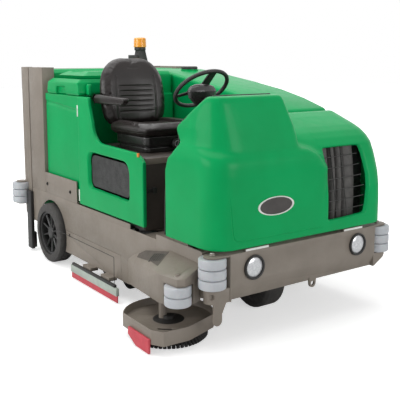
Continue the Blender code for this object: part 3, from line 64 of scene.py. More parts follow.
# Places on the machine are given from the chassis's middle plane, the bumper's face and the floor. It
# drives towards -Y, and the driver's side is -X. The camera stands at its right front corner, at eye
# height.
MIDDLE = (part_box("side_skirt_right")[0].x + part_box("side_skirt_left")[1].x) / 2
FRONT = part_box("front_bumper")[0].y


def at(x, y, z):
    """The place in the scene of a place on the machine."""
    return Vector((x + MIDDLE, y + FRONT, z))


camera = bpy.data.objects.new("camera", bpy.data.cameras.new("camera"))
bpy.context.scene.collection.objects.link(camera)
camera.location = at(-2.827, -2.873, 1.583)
camera.rotation_euler = (math.radians(90 - 8.343), 0, math.radians(-35.47))
camera.data.lens = 63.07
camera.data.shift_y = -0.10
bpy.context.scene.camera = camera
bpy.context.scene.view_settings.view_transform = "Standard"


# The studio is a pale floor under an even sky, with a large soft lamp on the driver's side, one overhead
# and a weak one in front. The floor keeps the machine's soft shadow.
def lamp(name, place, aim, size, power):
    """A soft rectangular lamp that faces a point."""
    light = bpy.data.lights.new(name, "AREA")
    light.shape = "RECTANGLE"
    light.size, light.size_y = size
    light.energy = power
    obj = bpy.data.objects.new(name, light)
    bpy.context.scene.collection.objects.link(obj)
    obj.location = place
    obj.rotation_euler = (Vector(aim) - Vector(place)).to_track_quat("-Z", "Y").to_euler()


lamp("side_lamp", (-6.5, 0.5, 2.6), (0, 0, 0.8), (5.0, 3.0), 190)
lamp("top_lamp", (-0.5, 0.8, 5.5), (0, 0, 0.6), (6.0, 6.0), 250)
lamp("front_lamp", (1.5, -7.0, 2.4), (0, 0, 0.6), (3.5, 2.5), 120)

world = bpy.data.worlds.new("sky")
bpy.context.scene.world = world
world.use_nodes = True
sky = world.node_tree.nodes["Background"]
sky.inputs["Color"].default_value = (1, 1, 1, 1)
rays = world.node_tree.nodes.new("ShaderNodeLightPath")
level = None
for ray in ("Is Camera Ray", "Is Glossy Ray", "Is Transmission Ray"):
    lit = world.node_tree.nodes.new("ShaderNodeMath")
    lit.operation = "MAXIMUM"
    lit.inputs[0].default_value = 0.28
    if level:
        world.node_tree.links.new(level, lit.inputs[0])
    world.node_tree.links.new(rays.outputs[ray], lit.inputs[1])
    level = lit.outputs[0]
world.node_tree.links.new(level, sky.inputs["Strength"])

bpy.ops.mesh.primitive_plane_add(size=60, location=(0, 0, -0.001))
floor = bpy.context.object
floor.name = "studio_floor"
pale = bpy.data.materials.new("studio_floor")
pale.use_nodes = True
tree = pale.node_tree
tree.nodes["Principled BSDF"].inputs["Base Color"].default_value = (0.86, 0.86, 0.86, 1)
tree.nodes["Principled BSDF"].inputs["Roughness"].default_value = 0.9
tree.nodes["Principled BSDF"].inputs["Emission Color"].default_value = (1, 1, 1, 1)
rays = tree.nodes.new("ShaderNodeLightPath")
place = tree.nodes.new("ShaderNodeTexCoord")
reach = tree.nodes.new("ShaderNodeVectorMath")
reach.operation = "LENGTH"
tree.links.new(place.outputs["Object"], reach.inputs[0])
fade = tree.nodes.new("ShaderNodeMapRange")
fade.inputs["From Min"].default_value, fade.inputs["From Max"].default_value = 1.5, 4.0
fade.inputs["To Min"].default_value, fade.inputs["To Max"].default_value = 0.55, 1.0
tree.links.new(reach.outputs["Value"], fade.inputs["Value"])
lift = tree.nodes.new("ShaderNodeMath")
lift.operation = "MULTIPLY"
tree.links.new(rays.outputs["Is Camera Ray"], lift.inputs[0])
tree.links.new(fade.outputs["Result"], lift.inputs[1])
tree.links.new(lift.outputs[0], tree.nodes["Principled BSDF"].inputs["Emission Strength"])
floor.data.materials.append(pale)


# Chassis: folded and welded steel plate in a satin warm grey paint with a fine orange peel. Its front
# bumper, side plates, floor, frame and masts are bolted and welded together, and their edges are broken
# by grinding.
def tone(red, green, blue):
    """A colour as light, from its eight-bit numbers on a screen."""
    parts = [part / 255 for part in (red, green, blue)]
    return tuple(part / 12.92 if part < 0.04045 else ((part + 0.055) / 1.055) ** 2.4 for part in parts)


def surface(name, colour, drift, patch=0.15, gloss=(0.4, 0.5), grain=0.004, depth=0.0002, **sockets):
    """A finish that drifts between two colours in patches, with an uneven gloss and a fine grain."""
    made = bpy.data.materials.new(name)
    made.use_nodes = True
    tree = made.node_tree
    shader = tree.nodes["Principled BSDF"]
    place = tree.nodes.new("ShaderNodeTexCoord").outputs["Object"]

    def noise(size, detail):
        """A noise whose lumps are about this size."""
        node = tree.nodes.new("ShaderNodeTexNoise")
        node.inputs["Scale"].default_value = 1 / size
        node.inputs["Detail"].default_value = detail
        tree.links.new(place, node.inputs["Vector"])
        return node.outputs["Fac"]

    patches = noise(patch, 5)
    ramp = tree.nodes.new("ShaderNodeValToRGB")
    ramp.color_ramp.elements[0].position, ramp.color_ramp.elements[1].position = 0.35, 0.65
    ramp.color_ramp.elements[0].color = (*colour, 1)
    ramp.color_ramp.elements[1].color = (*drift, 1)
    tree.links.new(patches, ramp.inputs["Fac"])
    tree.links.new(ramp.outputs["Color"], shader.inputs["Base Color"])
    rough = tree.nodes.new("ShaderNodeMapRange")
    rough.inputs["From Min"].default_value, rough.inputs["From Max"].default_value = 0.3, 0.7
    rough.inputs["To Min"].default_value, rough.inputs["To Max"].default_value = gloss
    tree.links.new(noise(patch / 6, 3), rough.inputs["Value"])
    tree.links.new(rough.outputs["Result"], shader.inputs["Roughness"])
    bump = tree.nodes.new("ShaderNodeBump")
    bump.inputs["Distance"].default_value = depth
    tree.links.new(noise(grain, 2), bump.inputs["Height"])
    tree.links.new(bump.outputs["Normal"], shader.inputs["Normal"])
    for socket, value in sockets.items():
        shader.inputs[socket.replace("_", " ")].default_value = value
    return made


chassis_paint = surface("chassis_paint", tone(134, 125, 115), tone(126, 117, 107), gloss=(0.42, 0.52))


def alone(obj):
    """Leaves one object selected and active."""
    bpy.ops.object.select_all(action="DESELECT")
    obj.select_set(True)
    bpy.context.view_layer.objects.active = obj


def worked(obj, kind, **settings):
    """Adds a modifier and applies it."""
    alone(obj)
    step = obj.modifiers.new(kind.lower(), kind)
    for name, value in settings.items():
        setattr(step, name, value)
    bpy.ops.object.modifier_apply(modifier=step.name)
    return obj


def body_of(node):
    """The moving body that a CAD node belongs to."""
    return frame["nodes"][node]["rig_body"]


def stands_for(obj, node):
    """Makes a piece ride where a CAD node rides and stand for it."""
    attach(obj, body_of(node))
    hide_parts(node)


def outlined(name, axis, outline, low, high, material):
    """A solid whose outline is given in the other two directions, drawn out along an axis."""
    places = {
        "x": lambda a, b: at(low, a, b), "y": lambda a, b: at(a, low, b), "z": lambda a, b: at(a, b, low)
    }
    bpy.ops.object.select_all(action="DESELECT")
    bpy.ops.mesh.primitive_circle_add(vertices=len(outline), fill_type="NGON")
    obj = bpy.context.object
    obj.name = name
    for vertex, (a, b) in zip(obj.data.vertices, outline):
        vertex.co = places[axis](a, b)
    obj.data.materials.append(material)
    way = Vector([(high - low) * (letter == axis) for letter in "xyz"])
    bpy.ops.object.mode_set(mode="EDIT")
    bpy.ops.mesh.select_all(action="SELECT")
    bpy.ops.mesh.extrude_region_move(TRANSFORM_OT_translate={"value": way})
    bpy.ops.mesh.select_all(action="SELECT")
    bpy.ops.mesh.normals_make_consistent(inside=False)
    bpy.ops.object.mode_set(mode="OBJECT")
    return obj


def slab(name, low, high, material):
    """A square-cornered solid between two corners."""
    (x0, y0, z0), (x1, y1, z1) = low, high
    return outlined(name, "z", [(x0, y0), (x1, y0), (x1, y1), (x0, y1)], z0, z1, material)


# Faces that meet at less than this angle are shaded as one curve.
SMOOTH = math.radians(35)


def rounded(obj, width=0.002, segments=2, angle=30):
    """Rounds a piece's edges over and shades its curves smooth."""
    worked(
        obj, "BEVEL", width=width, segments=segments, limit_method="ANGLE",
        angle_limit=math.radians(angle), use_clamp_overlap=False, miter_outer="MITER_ARC",
    )
    bpy.ops.object.shade_smooth_by_angle(angle=SMOOTH)
    return obj


def eased(node, material, width=0.002, segments=2):
    """A CAD node's shape, merged, with its edges rounded over."""
    obj = bpy.data.objects.new(f"{node}_eased", frame["nodes"][node].data.copy())
    bpy.context.scene.collection.objects.link(obj)
    obj.data.materials.clear()
    obj.data.materials.append(material)
    alone(obj)
    bpy.ops.object.mode_set(mode="EDIT")
    bpy.ops.mesh.select_all(action="SELECT")
    bpy.ops.mesh.customdata_custom_splitnormals_clear()
    bpy.ops.mesh.remove_doubles(threshold=0.00002)
    bpy.ops.mesh.dissolve_limited(angle_limit=math.radians(0.5))
    bpy.ops.object.mode_set(mode="OBJECT")
    rounded(obj, width, segments)
    stands_for(obj, node)
    return obj


for node in (
    "front_bumper", "side_skirt_right", "side_skirt_left", "floor_deck", "main_frame", "mast_right",
    "mast_left", "hopper_carriage", "main_brush_door_right", "main_brush_door_left", "side_brush_guard",
    "brush_outrigger",
):
    eased(node, chassis_paint, 0.0015)


# Screws: zinc-plated hexagon heads over washers on the roller pins, and blackened ones on the tank panel.
zinc = surface(
    "zinc", tone(196, 196, 192), tone(176, 174, 166), 0.02, (0.25, 0.4), 0.002, 0.00005, Metallic=0.9
)
black_zinc = surface(
    "black_zinc", tone(38, 36, 35), tone(28, 27, 26), 0.02, (0.35, 0.5), 0.002, 0.00005, Metallic=0.5
)


def turned(name, profile, centre, axis, steps, material):
    """A closed outline of radius and height, spun about an axis through a centre."""
    axis = Vector(axis).normalized()
    across = axis.orthogonal().normalized()
    bpy.ops.object.select_all(action="DESELECT")
    bpy.ops.mesh.primitive_circle_add(vertices=len(profile))
    obj = bpy.context.object
    obj.name = name
    for vertex, (radius, height) in zip(obj.data.vertices, profile):
        vertex.co = at(*centre) + across * radius + axis * height
    obj.data.materials.append(material)
    bpy.ops.object.mode_set(mode="EDIT")
    bpy.ops.mesh.select_all(action="SELECT")
    bpy.ops.mesh.spin(steps=steps, angle=math.tau, center=at(*centre), axis=axis)
    bpy.ops.mesh.select_all(action="SELECT")
    bpy.ops.mesh.remove_doubles(threshold=0.00001)
    bpy.ops.mesh.dissolve_degenerate(threshold=0.00001)
    bpy.ops.mesh.select_all(action="SELECT")
    bpy.ops.mesh.normals_make_consistent(inside=False)
    bpy.ops.object.mode_set(mode="OBJECT")
    alone(obj)
    bpy.ops.object.shade_smooth_by_angle(angle=SMOOTH)
    return obj


def screw(name, place, way, body, radius=0.010, material=zinc):
    """A hexagon head with a round washer under it, standing on a face."""
    washer = turned(
        name + "_washer", [(0, 0), (radius * 1.5, 0), (radius * 1.5, radius * 0.2), (0, radius * 0.2)],
        place, way, 20, material,
    )
    head = turned(
        name,
        [
            (0, radius * 0.2), (radius, radius * 0.2), (radius, radius * 0.75),
            (radius * 0.85, radius * 0.9), (0, radius * 0.9),
        ],
        place, way, 6, material,
    )
    alone(head)
    bpy.ops.object.shade_flat()
    washer.select_set(True)
    bpy.ops.object.join()
    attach(head, body)


screw("panel_screw_front", (-0.6695, 1.796, 0.604), (-1, 0, 0), "chassis", 0.009, black_zinc)
screw("panel_screw_rear", (-0.6695, 2.207, 0.607), (-1, 0, 0), "chassis", 0.009, black_zinc)
for number, (x, y, z) in enumerate(
    ((-0.659, 0.056, 0.5335), (0.659, 0.056, 0.5335), (-0.810, 0.165, 0.4135))
):
    screw(f"roller_pin_screw_{number}", (x, y, z), (0, 0, 1), "chassis", 0.013)


# Headlights: sealed lamps with a domed clear front over a bright reflector, in a black rubber-lipped rim
# that is pushed through the bumper.
black_plastic = surface(
    "black_plastic", tone(42, 41, 40), tone(35, 34, 33), 0.1, (0.42, 0.55), 0.0025, 0.00015
)
lamp_glass = surface(
    "lamp_glass", tone(226, 227, 229), tone(196, 198, 202), 0.012, (0.06, 0.14), 0.010, 0.0015,
    Metallic=0.35, Coat_Weight=1.0, Coat_Roughness=0.03,
)
for word, x in (("right", -0.414), ("left", 0.414)):
    rim = turned(
        f"headlight_rim_{word}",
        [
            (0.060, 0.004), (0.060, -0.007), (0.0572, -0.0105), (0.061, -0.0145), (0.0665, -0.0145),
            (0.0695, -0.011), (0.070, -0.0008), (0.060, -0.0004),
        ],
        (x, 0, 0.438), (0, 1, 0), 56, black_plastic,
    )
    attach(rim, "chassis")
    front = turned(
        f"headlight_front_{word}",
        [
            (0, -0.0145), (0.020, -0.0138), (0.038, -0.0115), (0.052, -0.0075), (0.0572, -0.004),
            (0.0572, 0.028), (0.030, 0.058), (0, 0.058),
        ],
        (x, 0, 0.438), (0, 1, 0), 56, lamp_glass,
    )
    stands_for(front, f"headlight_{word}")


# Wall rollers: pale grey nylon discs stacked on a steel pin, each with rounded rims and a dark line
# between it and the next. They turn on the pin and keep the machine off walls.
roller_grey = surface(
    "roller_grey", tone(192, 195, 199), tone(184, 187, 192), 0.05, (0.38, 0.5), 0.006, 0.0002,
    Subsurface_Weight=0.05, Subsurface_Scale=0.01,
)


def stack(node, x, y, low, radius, discs, pitch=0.057):
    """A pile of discs on an upright pin, turned as one piece, in place of a CAD node."""
    profile = []
    for disc in range(discs):
        foot = low + disc * pitch
        head = foot + pitch - 0.004
        profile += [
            (radius - 0.014, foot - 0.001), (radius - 0.006, foot), (radius - 0.0015, foot + 0.003),
            (radius, foot + 0.009),
        ]
        profile += [
            (radius, head - 0.009), (radius - 0.0015, head - 0.003), (radius - 0.006, head),
            (radius - 0.014, head + 0.001),
        ]
    profile[0] = (radius - 0.014, low)
    profile[-1] = (radius - 0.014, low + discs * pitch - 0.004)
    profile += [(0.0112, profile[-1][1]), (0.0112, low)]
    obj = turned(f"{node}_discs", profile, (x, y, 0), (0, 0, 1), 56, roller_grey)
    stands_for(obj, node)


stack("wall_rollers_front_right", -0.659, 0.056, 0.351, 0.077, 3)
stack("wall_rollers_front_left", 0.659, 0.056, 0.351, 0.077, 3)
stack("wall_rollers_outrigger", -0.810, 0.165, 0.255, 0.075, 2)
stack("wall_rollers_rear_right", -0.697, 2.676, 0.390, 0.077, 3)
stack("wall_rollers_rear_left", 0.697, 2.676, 0.390, 0.077, 3)


# Side brush: a plastic disc set with tufts of black crimped bristle that splay out to the floor. A red
# rubber flap is bolted on its guard's outer corner.
bristle_black = surface(
    "bristle_black", tone(30, 29, 29), tone(16, 16, 16), 0.006, (0.55, 0.8), 0.0012, 0.0004
)
red_rubber = surface("red_rubber", tone(202, 72, 84), tone(190, 62, 74), 0.06, (0.45, 0.6), 0.004, 0.0001)


def ringed(obj, centre, axis, count):
    """Repeats a piece round an axis, evenly, within its own mesh."""
    turn = bpy.data.objects.new("turn", None)
    bpy.context.scene.collection.objects.link(turn)
    place = Matrix.Translation(at(*centre))
    turn.matrix_world = place @ Matrix.Rotation(math.tau / count, 4, Vector(axis)) @ place.inverted()
    bpy.context.view_layer.update()
    worked(
        obj, "ARRAY", count=count, use_relative_offset=False, use_constant_offset=False,
        use_object_offset=True, offset_object=turn,
    )
    bpy.data.objects.remove(turn)
    return obj


def tuft(name, root, tip, thick, spread, material):
    """One tuft of bristles, wider at its tip."""
    bpy.ops.object.select_all(action="DESELECT")
    root, tip = at(*root), at(*tip)
    bpy.ops.mesh.primitive_cone_add(vertices=6, radius1=thick, radius2=spread, depth=(tip - root).length)
    obj = bpy.context.object
    obj.name = name
    obj.data.materials.append(material)
    turn = Vector((0, 0, 1)).rotation_difference(tip - root).to_matrix().to_4x4()
    obj.data.transform(Matrix.Translation((root + tip) / 2) @ turn)
    return obj


brush = (-0.735, 0.375, 0)
disc = turned(
    "side_brush_disc",
    [
        (0, 0.118), (0.030, 0.118), (0.032, 0.100), (0.120, 0.094), (0.172, 0.080), (0.176, 0.070),
        (0.168, 0.064), (0, 0.064),
    ],
    brush, (0, 0, 1), 64, black_plastic,
)
disc.select_set(True)
rings = [disc]
for number, (near, far, count) in enumerate(
    ((0.164, 0.221, 56), (0.150, 0.205, 50), (0.128, 0.180, 42), (0.100, 0.148, 32))
):
    one = tuft(
        f"tufts_{number}", (brush[0] + near, brush[1], 0.070), (brush[0] + far, brush[1], 0.0075), 0.006,
        0.011, bristle_black,
    )
    rings.append(ringed(one, brush, (0, 0, 1), count))
alone(disc)
for ring in rings:
    ring.select_set(True)
bpy.ops.object.join()
stands_for(disc, "side_brush")
eased("side_brush_flap", red_rubber, 0.003, 3)


# Rear wheels: solid dark grey tyres with three shallow grooves, pressed on black cast wheels whose ten
# spokes run from a capped hub to the rim.
tyre_rubber = surface("tyre_rubber", tone(66, 64, 62), tone(54, 52, 51), 0.05, (0.62, 0.8), 0.003, 0.0003)
wheel_black = surface("wheel_black", tone(34, 33, 33), tone(26, 26, 26), 0.08, (0.35, 0.5), 0.003, 0.0001)
out, axle_y, axle_z = 0.710, 2.140, 0.230
for word, side in (("right", -1), ("left", 1)):
    section = [
        (0.1685, -0.0005), (0.180, -0.0005), (0.205, -0.001), (0.222, -0.006), (0.2285, -0.016),
        (0.230, -0.026),
    ]
    for groove in (0.046, 0.065, 0.084):
        section += [
            (0.230, -groove + 0.003), (0.2265, -groove + 0.0022), (0.2265, -groove - 0.0022),
            (0.230, -groove - 0.003),
        ]
    section += [(0.230, -0.104), (0.2285, -0.114), (0.222, -0.124), (0.205, -0.1295), (0.1685, -0.1295)]
    tyre = turned(
        f"rear_tyre_{word}_solid", [(radius, side * depth) for radius, depth in section],
        (side * out, axle_y, axle_z), (1, 0, 0), 96, tyre_rubber,
    )
    stands_for(tyre, f"rear_tyre_{word}")
    wheel = eased(f"rear_wheel_{word}", wheel_black, 0.0025, 2)
    for number in range(5):
        angle = math.tau * number / 5
        place = (side * (out - 0.026), axle_y + 0.026 * math.sin(angle), axle_z + 0.026 * math.cos(angle))
        screw(f"wheel_nut_{word}_{number}", place, (side, 0, 0), body_of(f"rear_wheel_{word}"), 0.006)


# Recovery tank: rotationally moulded green tank behind the seat, with a proud band round its top and a
# lower dome on its left half. It is hollow, and rests in the frame.
cover_green = surface(
    "cover_green", tone(0, 165, 92), tone(0, 157, 86), patch=0.3, gloss=(0.34, 0.42), grain=0.003,
    depth=0.00006, Specular_IOR_Level=0.10, Coat_Weight=0.18, Coat_Roughness=0.16, Coat_IOR=1.3,
)


def wrapped(name, points, material):
    """The tightest closed shape round some points."""
    bpy.ops.object.select_all(action="DESELECT")
    bpy.ops.mesh.primitive_circle_add(vertices=len(points))
    obj = bpy.context.object
    obj.name = name
    for vertex, point in zip(obj.data.vertices, points):
        vertex.co = at(*point)
    obj.data.materials.append(material)
    bpy.ops.object.mode_set(mode="EDIT")
    bpy.ops.mesh.select_all(action="SELECT")
    bpy.ops.mesh.convex_hull(delete_unused=True, use_existing_faces=False)
    bpy.ops.mesh.select_all(action="SELECT")
    bpy.ops.mesh.normals_make_consistent(inside=False)
    bpy.ops.object.mode_set(mode="OBJECT")
    return obj


def merged(obj, other, operation="UNION"):
    """Joins another solid to this one, or cuts it away."""
    worked(obj, "BOOLEAN", object=other, operation=operation, solver="EXACT")
    bpy.data.objects.remove(other)
    return obj


def moulded(obj, fineness, rounds):
    """Melts a solid's corners into the soft radii of a plastic mould."""
    worked(obj, "REMESH", mode="VOXEL", voxel_size=fineness)
    worked(obj, "SMOOTH", factor=0.5, iterations=rounds)
    alone(obj)
    bpy.ops.object.shade_smooth()
    return obj


def bent(centre, radius, start, end, steps):
    """Points along an arc, from one angle in degrees to another, with both ends."""
    turns = [math.radians(start + (end - start) * step / steps) for step in range(steps + 1)]
    return [(centre[0] + radius * math.cos(turn), centre[1] + radius * math.sin(turn)) for turn in turns]


side = [(1.663, 0.548), (1.663, 1.313), (2.238, 1.313), (2.238, 0.548)]
tank = outlined("recovery_tank_shell", "x", side, -0.652, 0.149, cover_green)
groove = [
    (1.600, 1.212), (1.667, 1.217), (2.126, 1.252), (2.300, 1.265), (2.300, 1.240), (2.126, 1.228),
    (1.667, 1.193), (1.600, 1.188),
]
merged(tank, outlined("band_groove", "x", groove, -0.700, -0.644, cover_green), "DIFFERENCE")
below = [(1.600, 0.500), (2.300, 0.500), (2.300, 1.248), (2.126, 1.236), (1.667, 1.201), (1.600, 1.196)]
merged(tank, outlined("band_step", "x", below, -0.700, -0.648, cover_green), "DIFFERENCE")
moulded(tank, 0.006, 4)
dome = outlined(
    "tank_dome", "x",
    [(1.684, 1.300), (1.684, 1.455), (1.712, 1.481), (2.215, 1.481), (2.236, 1.455), (2.236, 1.300)],
    -0.094, 0.149, cover_green,
)
rounded(dome, 0.012, 3)
alone(tank)
merged(tank, dome)
hollow = slab("tank_hollow", (-0.636, 1.677, 0.565), (-0.132, 2.222, 1.330), cover_green)
merged(tank, hollow, "DIFFERENCE")
bpy.ops.object.shade_smooth_by_angle(angle=SMOOTH)
stands_for(tank, "recovery_tank")


# Recovery tank lid: a moulded shell whose upper faces slope in from a level rim, with a finger notch in
# the rim and a shallow dip across its top. It hinges on the tank, and a small green block ahead of it
# stands on the frame.
lid = wrapped(
    "recovery_lid_shell",
    [
        (x, y, z)
        for z, in_x, in_front, in_rear in (
            (1.3155, 0.006, 0.004, 0.006), (1.335, 0, 0, 0), (1.402, 0.001, 0.016, 0.014),
            (1.448, 0.060, 0.050, 0.060), (1.4805, 0.128, 0.096, 0.120),
        )
        for x in (-0.665 + in_x, -0.101) for y in (1.632 + in_front, 2.172 - in_rear)
    ],
    cover_green,
)
notch = wrapped(
    "lid_notch",
    [
        (x, y, z) for x in (-0.700, -0.640)
        for y, z in ((1.830, 1.300), (2.016, 1.300), (2.000, 1.372), (1.862, 1.372))
    ],
    cover_green,
)
merged(lid, notch, "DIFFERENCE")
valley = wrapped(
    "lid_valley",
    [
        (x, y, z) for x in (-0.700, -0.300)
        for y, z in ((1.790, 1.500), (2.010, 1.500), (1.980, 1.470), (1.820, 1.470))
    ],
    cover_green,
)
merged(lid, valley, "DIFFERENCE")
moulded(lid, 0.005, 5)
hollow = slab("lid_hollow", (-0.630, 1.668, 1.300), (-0.138, 2.140, 1.452), cover_green)
merged(lid, hollow, "DIFFERENCE")
bpy.ops.object.shade_smooth_by_angle(angle=SMOOTH)
stands_for(lid, "recovery_tank_lid")
brow = slab("tank_brow", (-0.606, 1.592, 1.318), (-0.576, 1.6305, 1.394), cover_green)
rounded(brow, 0.010, 4)
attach(brow, "chassis")


# Engine side door: a thick moulded door with a soft border round its window, which a black wire screen
# closes, two pale hinge strips at its rear edge and an orange pull tag at its front corner.
door = outlined(
    "engine_door_shell", "x",
    [
        (0.764, 0.540), (1.656, 0.540), (1.656, 1.311), (1.492, 1.311), (1.484, 1.250)
    ] + bent((1.300, 1.150), 0.142, 355, 270, 9) + [(0.860, 0.996), (0.800, 0.972), (0.766, 0.945)],
    -0.664, -0.636, cover_green,
)
window = bent((1.004, 0.726), 0.034, 180, 270, 4) + bent((1.438, 0.740), 0.040, 270, 360, 4)
window += bent((1.434, 0.866), 0.048, 0, 90, 4) + bent((1.040, 0.836), 0.070, 90, 180, 5)
middle = (1.225, 0.802)
flare = []
for depth, grow in ((-0.700, 1.22), (-0.664, 1.14), (-0.648, 1.0), (-0.600, 1.0)):
    flare += [
        (depth, middle[0] + (y - middle[0]) * grow, middle[1] + (z - middle[1]) * (1.6 * grow - 0.6))
        for y, z in window
    ]
merged(door, wrapped("window_flare", flare, cover_green), "DIFFERENCE")
moulded(door, 0.004, 16)
stands_for(door, "engine_side_door")
foot_seal = slab("door_seal", (-0.632, 0.806, 0.508), (-0.624, 1.640, 0.570), black_plastic)
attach(foot_seal, "chassis")
screen_black = surface(
    "screen_black", tone(62, 62, 62), tone(46, 46, 46), 0.05, (0.5, 0.7), 0.004, 0.0015, Metallic=0.3
)
screen = outlined(
    "window_screen", "x",
    [(middle[0] + (y - middle[0]) * 1.02, middle[1] + (z - middle[1]) * 1.02) for y, z in window],
    -0.6425, -0.6405, screen_black,
)
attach(screen, "engine_door")
hinge_white = surface(
    "hinge_white", tone(232, 234, 230), tone(222, 224, 219), 0.05, (0.35, 0.45), 0.003, 0.0001
)
for number, (low, high) in enumerate(((0.562, 0.645), (1.168, 1.249))):
    strip = rounded(
        slab(f"hinge_strip_{number}", (-0.6665, 1.646, low), (-0.6615, 1.659, high), hinge_white), 0.0015
    )
    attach(strip, "engine_door")
tag_orange = surface(
    "tag_orange", tone(236, 140, 40), tone(222, 120, 30), 0.02, (0.4, 0.5), 0.002, 0.0001
)
tag = rounded(slab("pull_tag", (-0.6655, 0.812, 0.975), (-0.6555, 0.832, 0.998), tag_orange), 0.002)
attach(tag, "engine_door")


# Clean water tank: moulded green tank along the left side. Its top slopes down towards the front, a seam
# crosses it near its rear, and a black cap on a hinge closes its filler.
top = [
    (2.230, 1.488), (1.970, 1.484), (1.730, 1.466), (1.560, 1.439), (1.280, 1.402), (0.960, 1.353),
    (0.730, 1.302), (0.514, 1.238),
]
long_tank = outlined(
    "clean_tank_shell", "x", [(0.507, 0.548), (2.236, 0.548)] + top, 0.168, 0.658, cover_green
)
worked(long_tank, "BEVEL", width=0.030, segments=4, limit_method="ANGLE", angle_limit=math.radians(60))
filler = (0.44, 1.860)
cut = slab("seam_cut", (0.150, 2.196, 1.478), (0.700, 2.202, 1.600), cover_green)
merged(long_tank, cut, "DIFFERENCE")
seat_ring = turned(
    "filler_seat", [(0, -0.03), (0.070, -0.03), (0.070, 0.010), (0.066, 0.0118), (0, 0.0118)],
    (*filler, 1.474), (0, 0, 1), 40, cover_green,
)
merged(long_tank, seat_ring)
mouth = turned(
    "filler_mouth", [(0, 1.36), (0.045, 1.36), (0.045, 1.60), (0, 1.60)], (*filler, 0), (0, 0, 1), 40,
    cover_green,
)
merged(long_tank, mouth, "DIFFERENCE")
alone(long_tank)
bpy.ops.object.shade_smooth_by_angle(angle=SMOOTH)
stands_for(long_tank, "solution_tank")
eased("solution_tank_cap", black_plastic, 0.002, 3)


# Debris hopper: green plastic bin that hangs between the masts on its steel carriage. It is rotationally
# moulded, so that its walls are thick and its edges soft.
eased("debris_hopper", cover_green, 0.006, 3)


# Front cover: one rotationally moulded shell of the same green plastic, with a raised cowl ahead of the
# driver, a flared shoulder at its right corner and a pocket for the grille. It rests on two pale pads on
# the bumper.
def level_ring(level, front, right, left, rear, inset, rounds):
    """A level outline with its two front corners rounded, drawn in by an inset."""
    front, right, left = front + inset, right + inset, left - inset
    right_radius, left_radius = (
        max(min(radius - inset, rear - front - 0.010), 0.010) for radius in rounds
    )
    outline = [(right, rear)] + bent(
        (right + right_radius, front + right_radius), right_radius, 180, 270, 8
    )
    outline += bent((left - left_radius, front + left_radius), left_radius, 270, 360, 8) + [(left, rear)]
    return [(x, y, level) for x, y in outline]


def cover(name, rings, inset=0.0, rounds=(0.140, 0.100)):
    """A rounded solid through level outlines, from the lowest up. An inset makes the hollow of its wall."""
    points = []
    for number, (level, front, right, left, rear) in enumerate(rings):
        if inset and number == 0:
            level -= 0.100
        if inset and number == len(rings) - 1:
            level -= inset
        points += level_ring(level, front, right, left, rear + (0.100 if inset else 0), inset, rounds)
    return wrapped(name, points, cover_green)


corner = [
    (0.550, -0.004, -0.684, 0.200, 0.486), (0.940, -0.004, -0.684, 0.200, 0.486),
    (1.020, 0.002, -0.684, 0.140, 0.453), (1.058, 0.020, -0.680, 0.080, 0.445),
    (1.085, 0.070, -0.674, 0.020, 0.440), (1.120, 0.190, -0.662, -0.060, 0.430),
]
wing = [
    (level, front, -0.100, 0.658 - drawn, 0.486)
    for level, front, drawn in (
        (0.550, -0.004, 0), (0.700, -0.004, 0), (0.790, 0.000, 0), (0.870, 0.012, 0),
        (0.932, 0.029, 0.001), (0.995, 0.048, 0.003), (1.059, 0.074, 0.006), (1.100, 0.110, 0.010),
        (1.133, 0.155, 0.014), (1.160, 0.213, 0.017), (1.183, 0.280, 0.020), (1.209, 0.350, 0.023),
        (1.230, 0.424, 0.026),
    )
]
cowl = [
    (0.950, 0.001, -0.664, -0.040, 0.450), (1.050, 0.032, -0.662, -0.040, 0.440),
    (1.150, 0.052, -0.658, -0.046, 0.420), (1.203, 0.061, -0.656, -0.068, 0.400),
    (1.290, 0.079, -0.644, -0.100, 0.270), (1.343, 0.093, -0.624, -0.116, 0.200),
    (1.366, 0.104, -0.610, -0.124, 0.190), (1.374, 0.120, -0.600, -0.130, 0.185),
]
shroud = cover("front_cover", corner)
merged(shroud, cover("cover_wing", wing))
merged(shroud, cover("cover_cowl", cowl, rounds=(0.200, 0.030)))
nib = outlined(
    "cowl_nib", "x", [(0.420, 1.194), (0.358, 1.108), (0.460, 1.012), (0.700, 1.012), (0.700, 1.194)],
    -0.900, -0.120, cover_green,
)
merged(shroud, nib, "DIFFERENCE")
opening = [(0.160, 0.626), (0.442, 0.642), (0.470, 1.043), (0.168, 1.043)]
pocket = [(0.157, -0.030, 0.615), (0.512, -0.030, 0.620), (0.532, 0.030, 1.070), (0.160, 0.030, 1.060)]
pocket += [(0.161, 0.040, 0.627), (0.443, 0.040, 0.643), (0.471, 0.095, 1.042), (0.169, 0.095, 1.042)]
merged(shroud, wrapped("grille_pocket", pocket, cover_green), "DIFFERENCE")
moulded(shroud, 0.0065, 12)
foot = shroud.vertex_groups.new(name="cowl_foot")
for vertex in shroud.data.vertices:
    place = vertex.co - at(0, 0, 0)
    if place.x < 0.15 and place.y < 0.33 and 0.960 < place.z < 1.190:
        foot.add([vertex.index], 1.0, "REPLACE")
worked(shroud, "SMOOTH", factor=0.5, iterations=60, vertex_group="cowl_foot")
inner_corner = [(z, y, x0, min(x1, 0.028), y1) for z, y, x0, x1, y1 in corner]
wall = 0.018
room = cover("cover_room", wing, wall)
merged(room, cover("corner_room", inner_corner, wall))
merged(room, cover("cowl_room", cowl, wall, (0.200, 0.030)))
merged(room, outlined("grille_hole", "y", opening, -0.060, 0.140, cover_green))
merged(room, slab("dash_room", (-0.588, 0.272, 0.900), (-0.157, 0.700, 1.500), cover_green))
merged(shroud, room, "DIFFERENCE")
bpy.ops.object.shade_smooth_by_angle(angle=SMOOTH)
stands_for(shroud, "front_shroud")


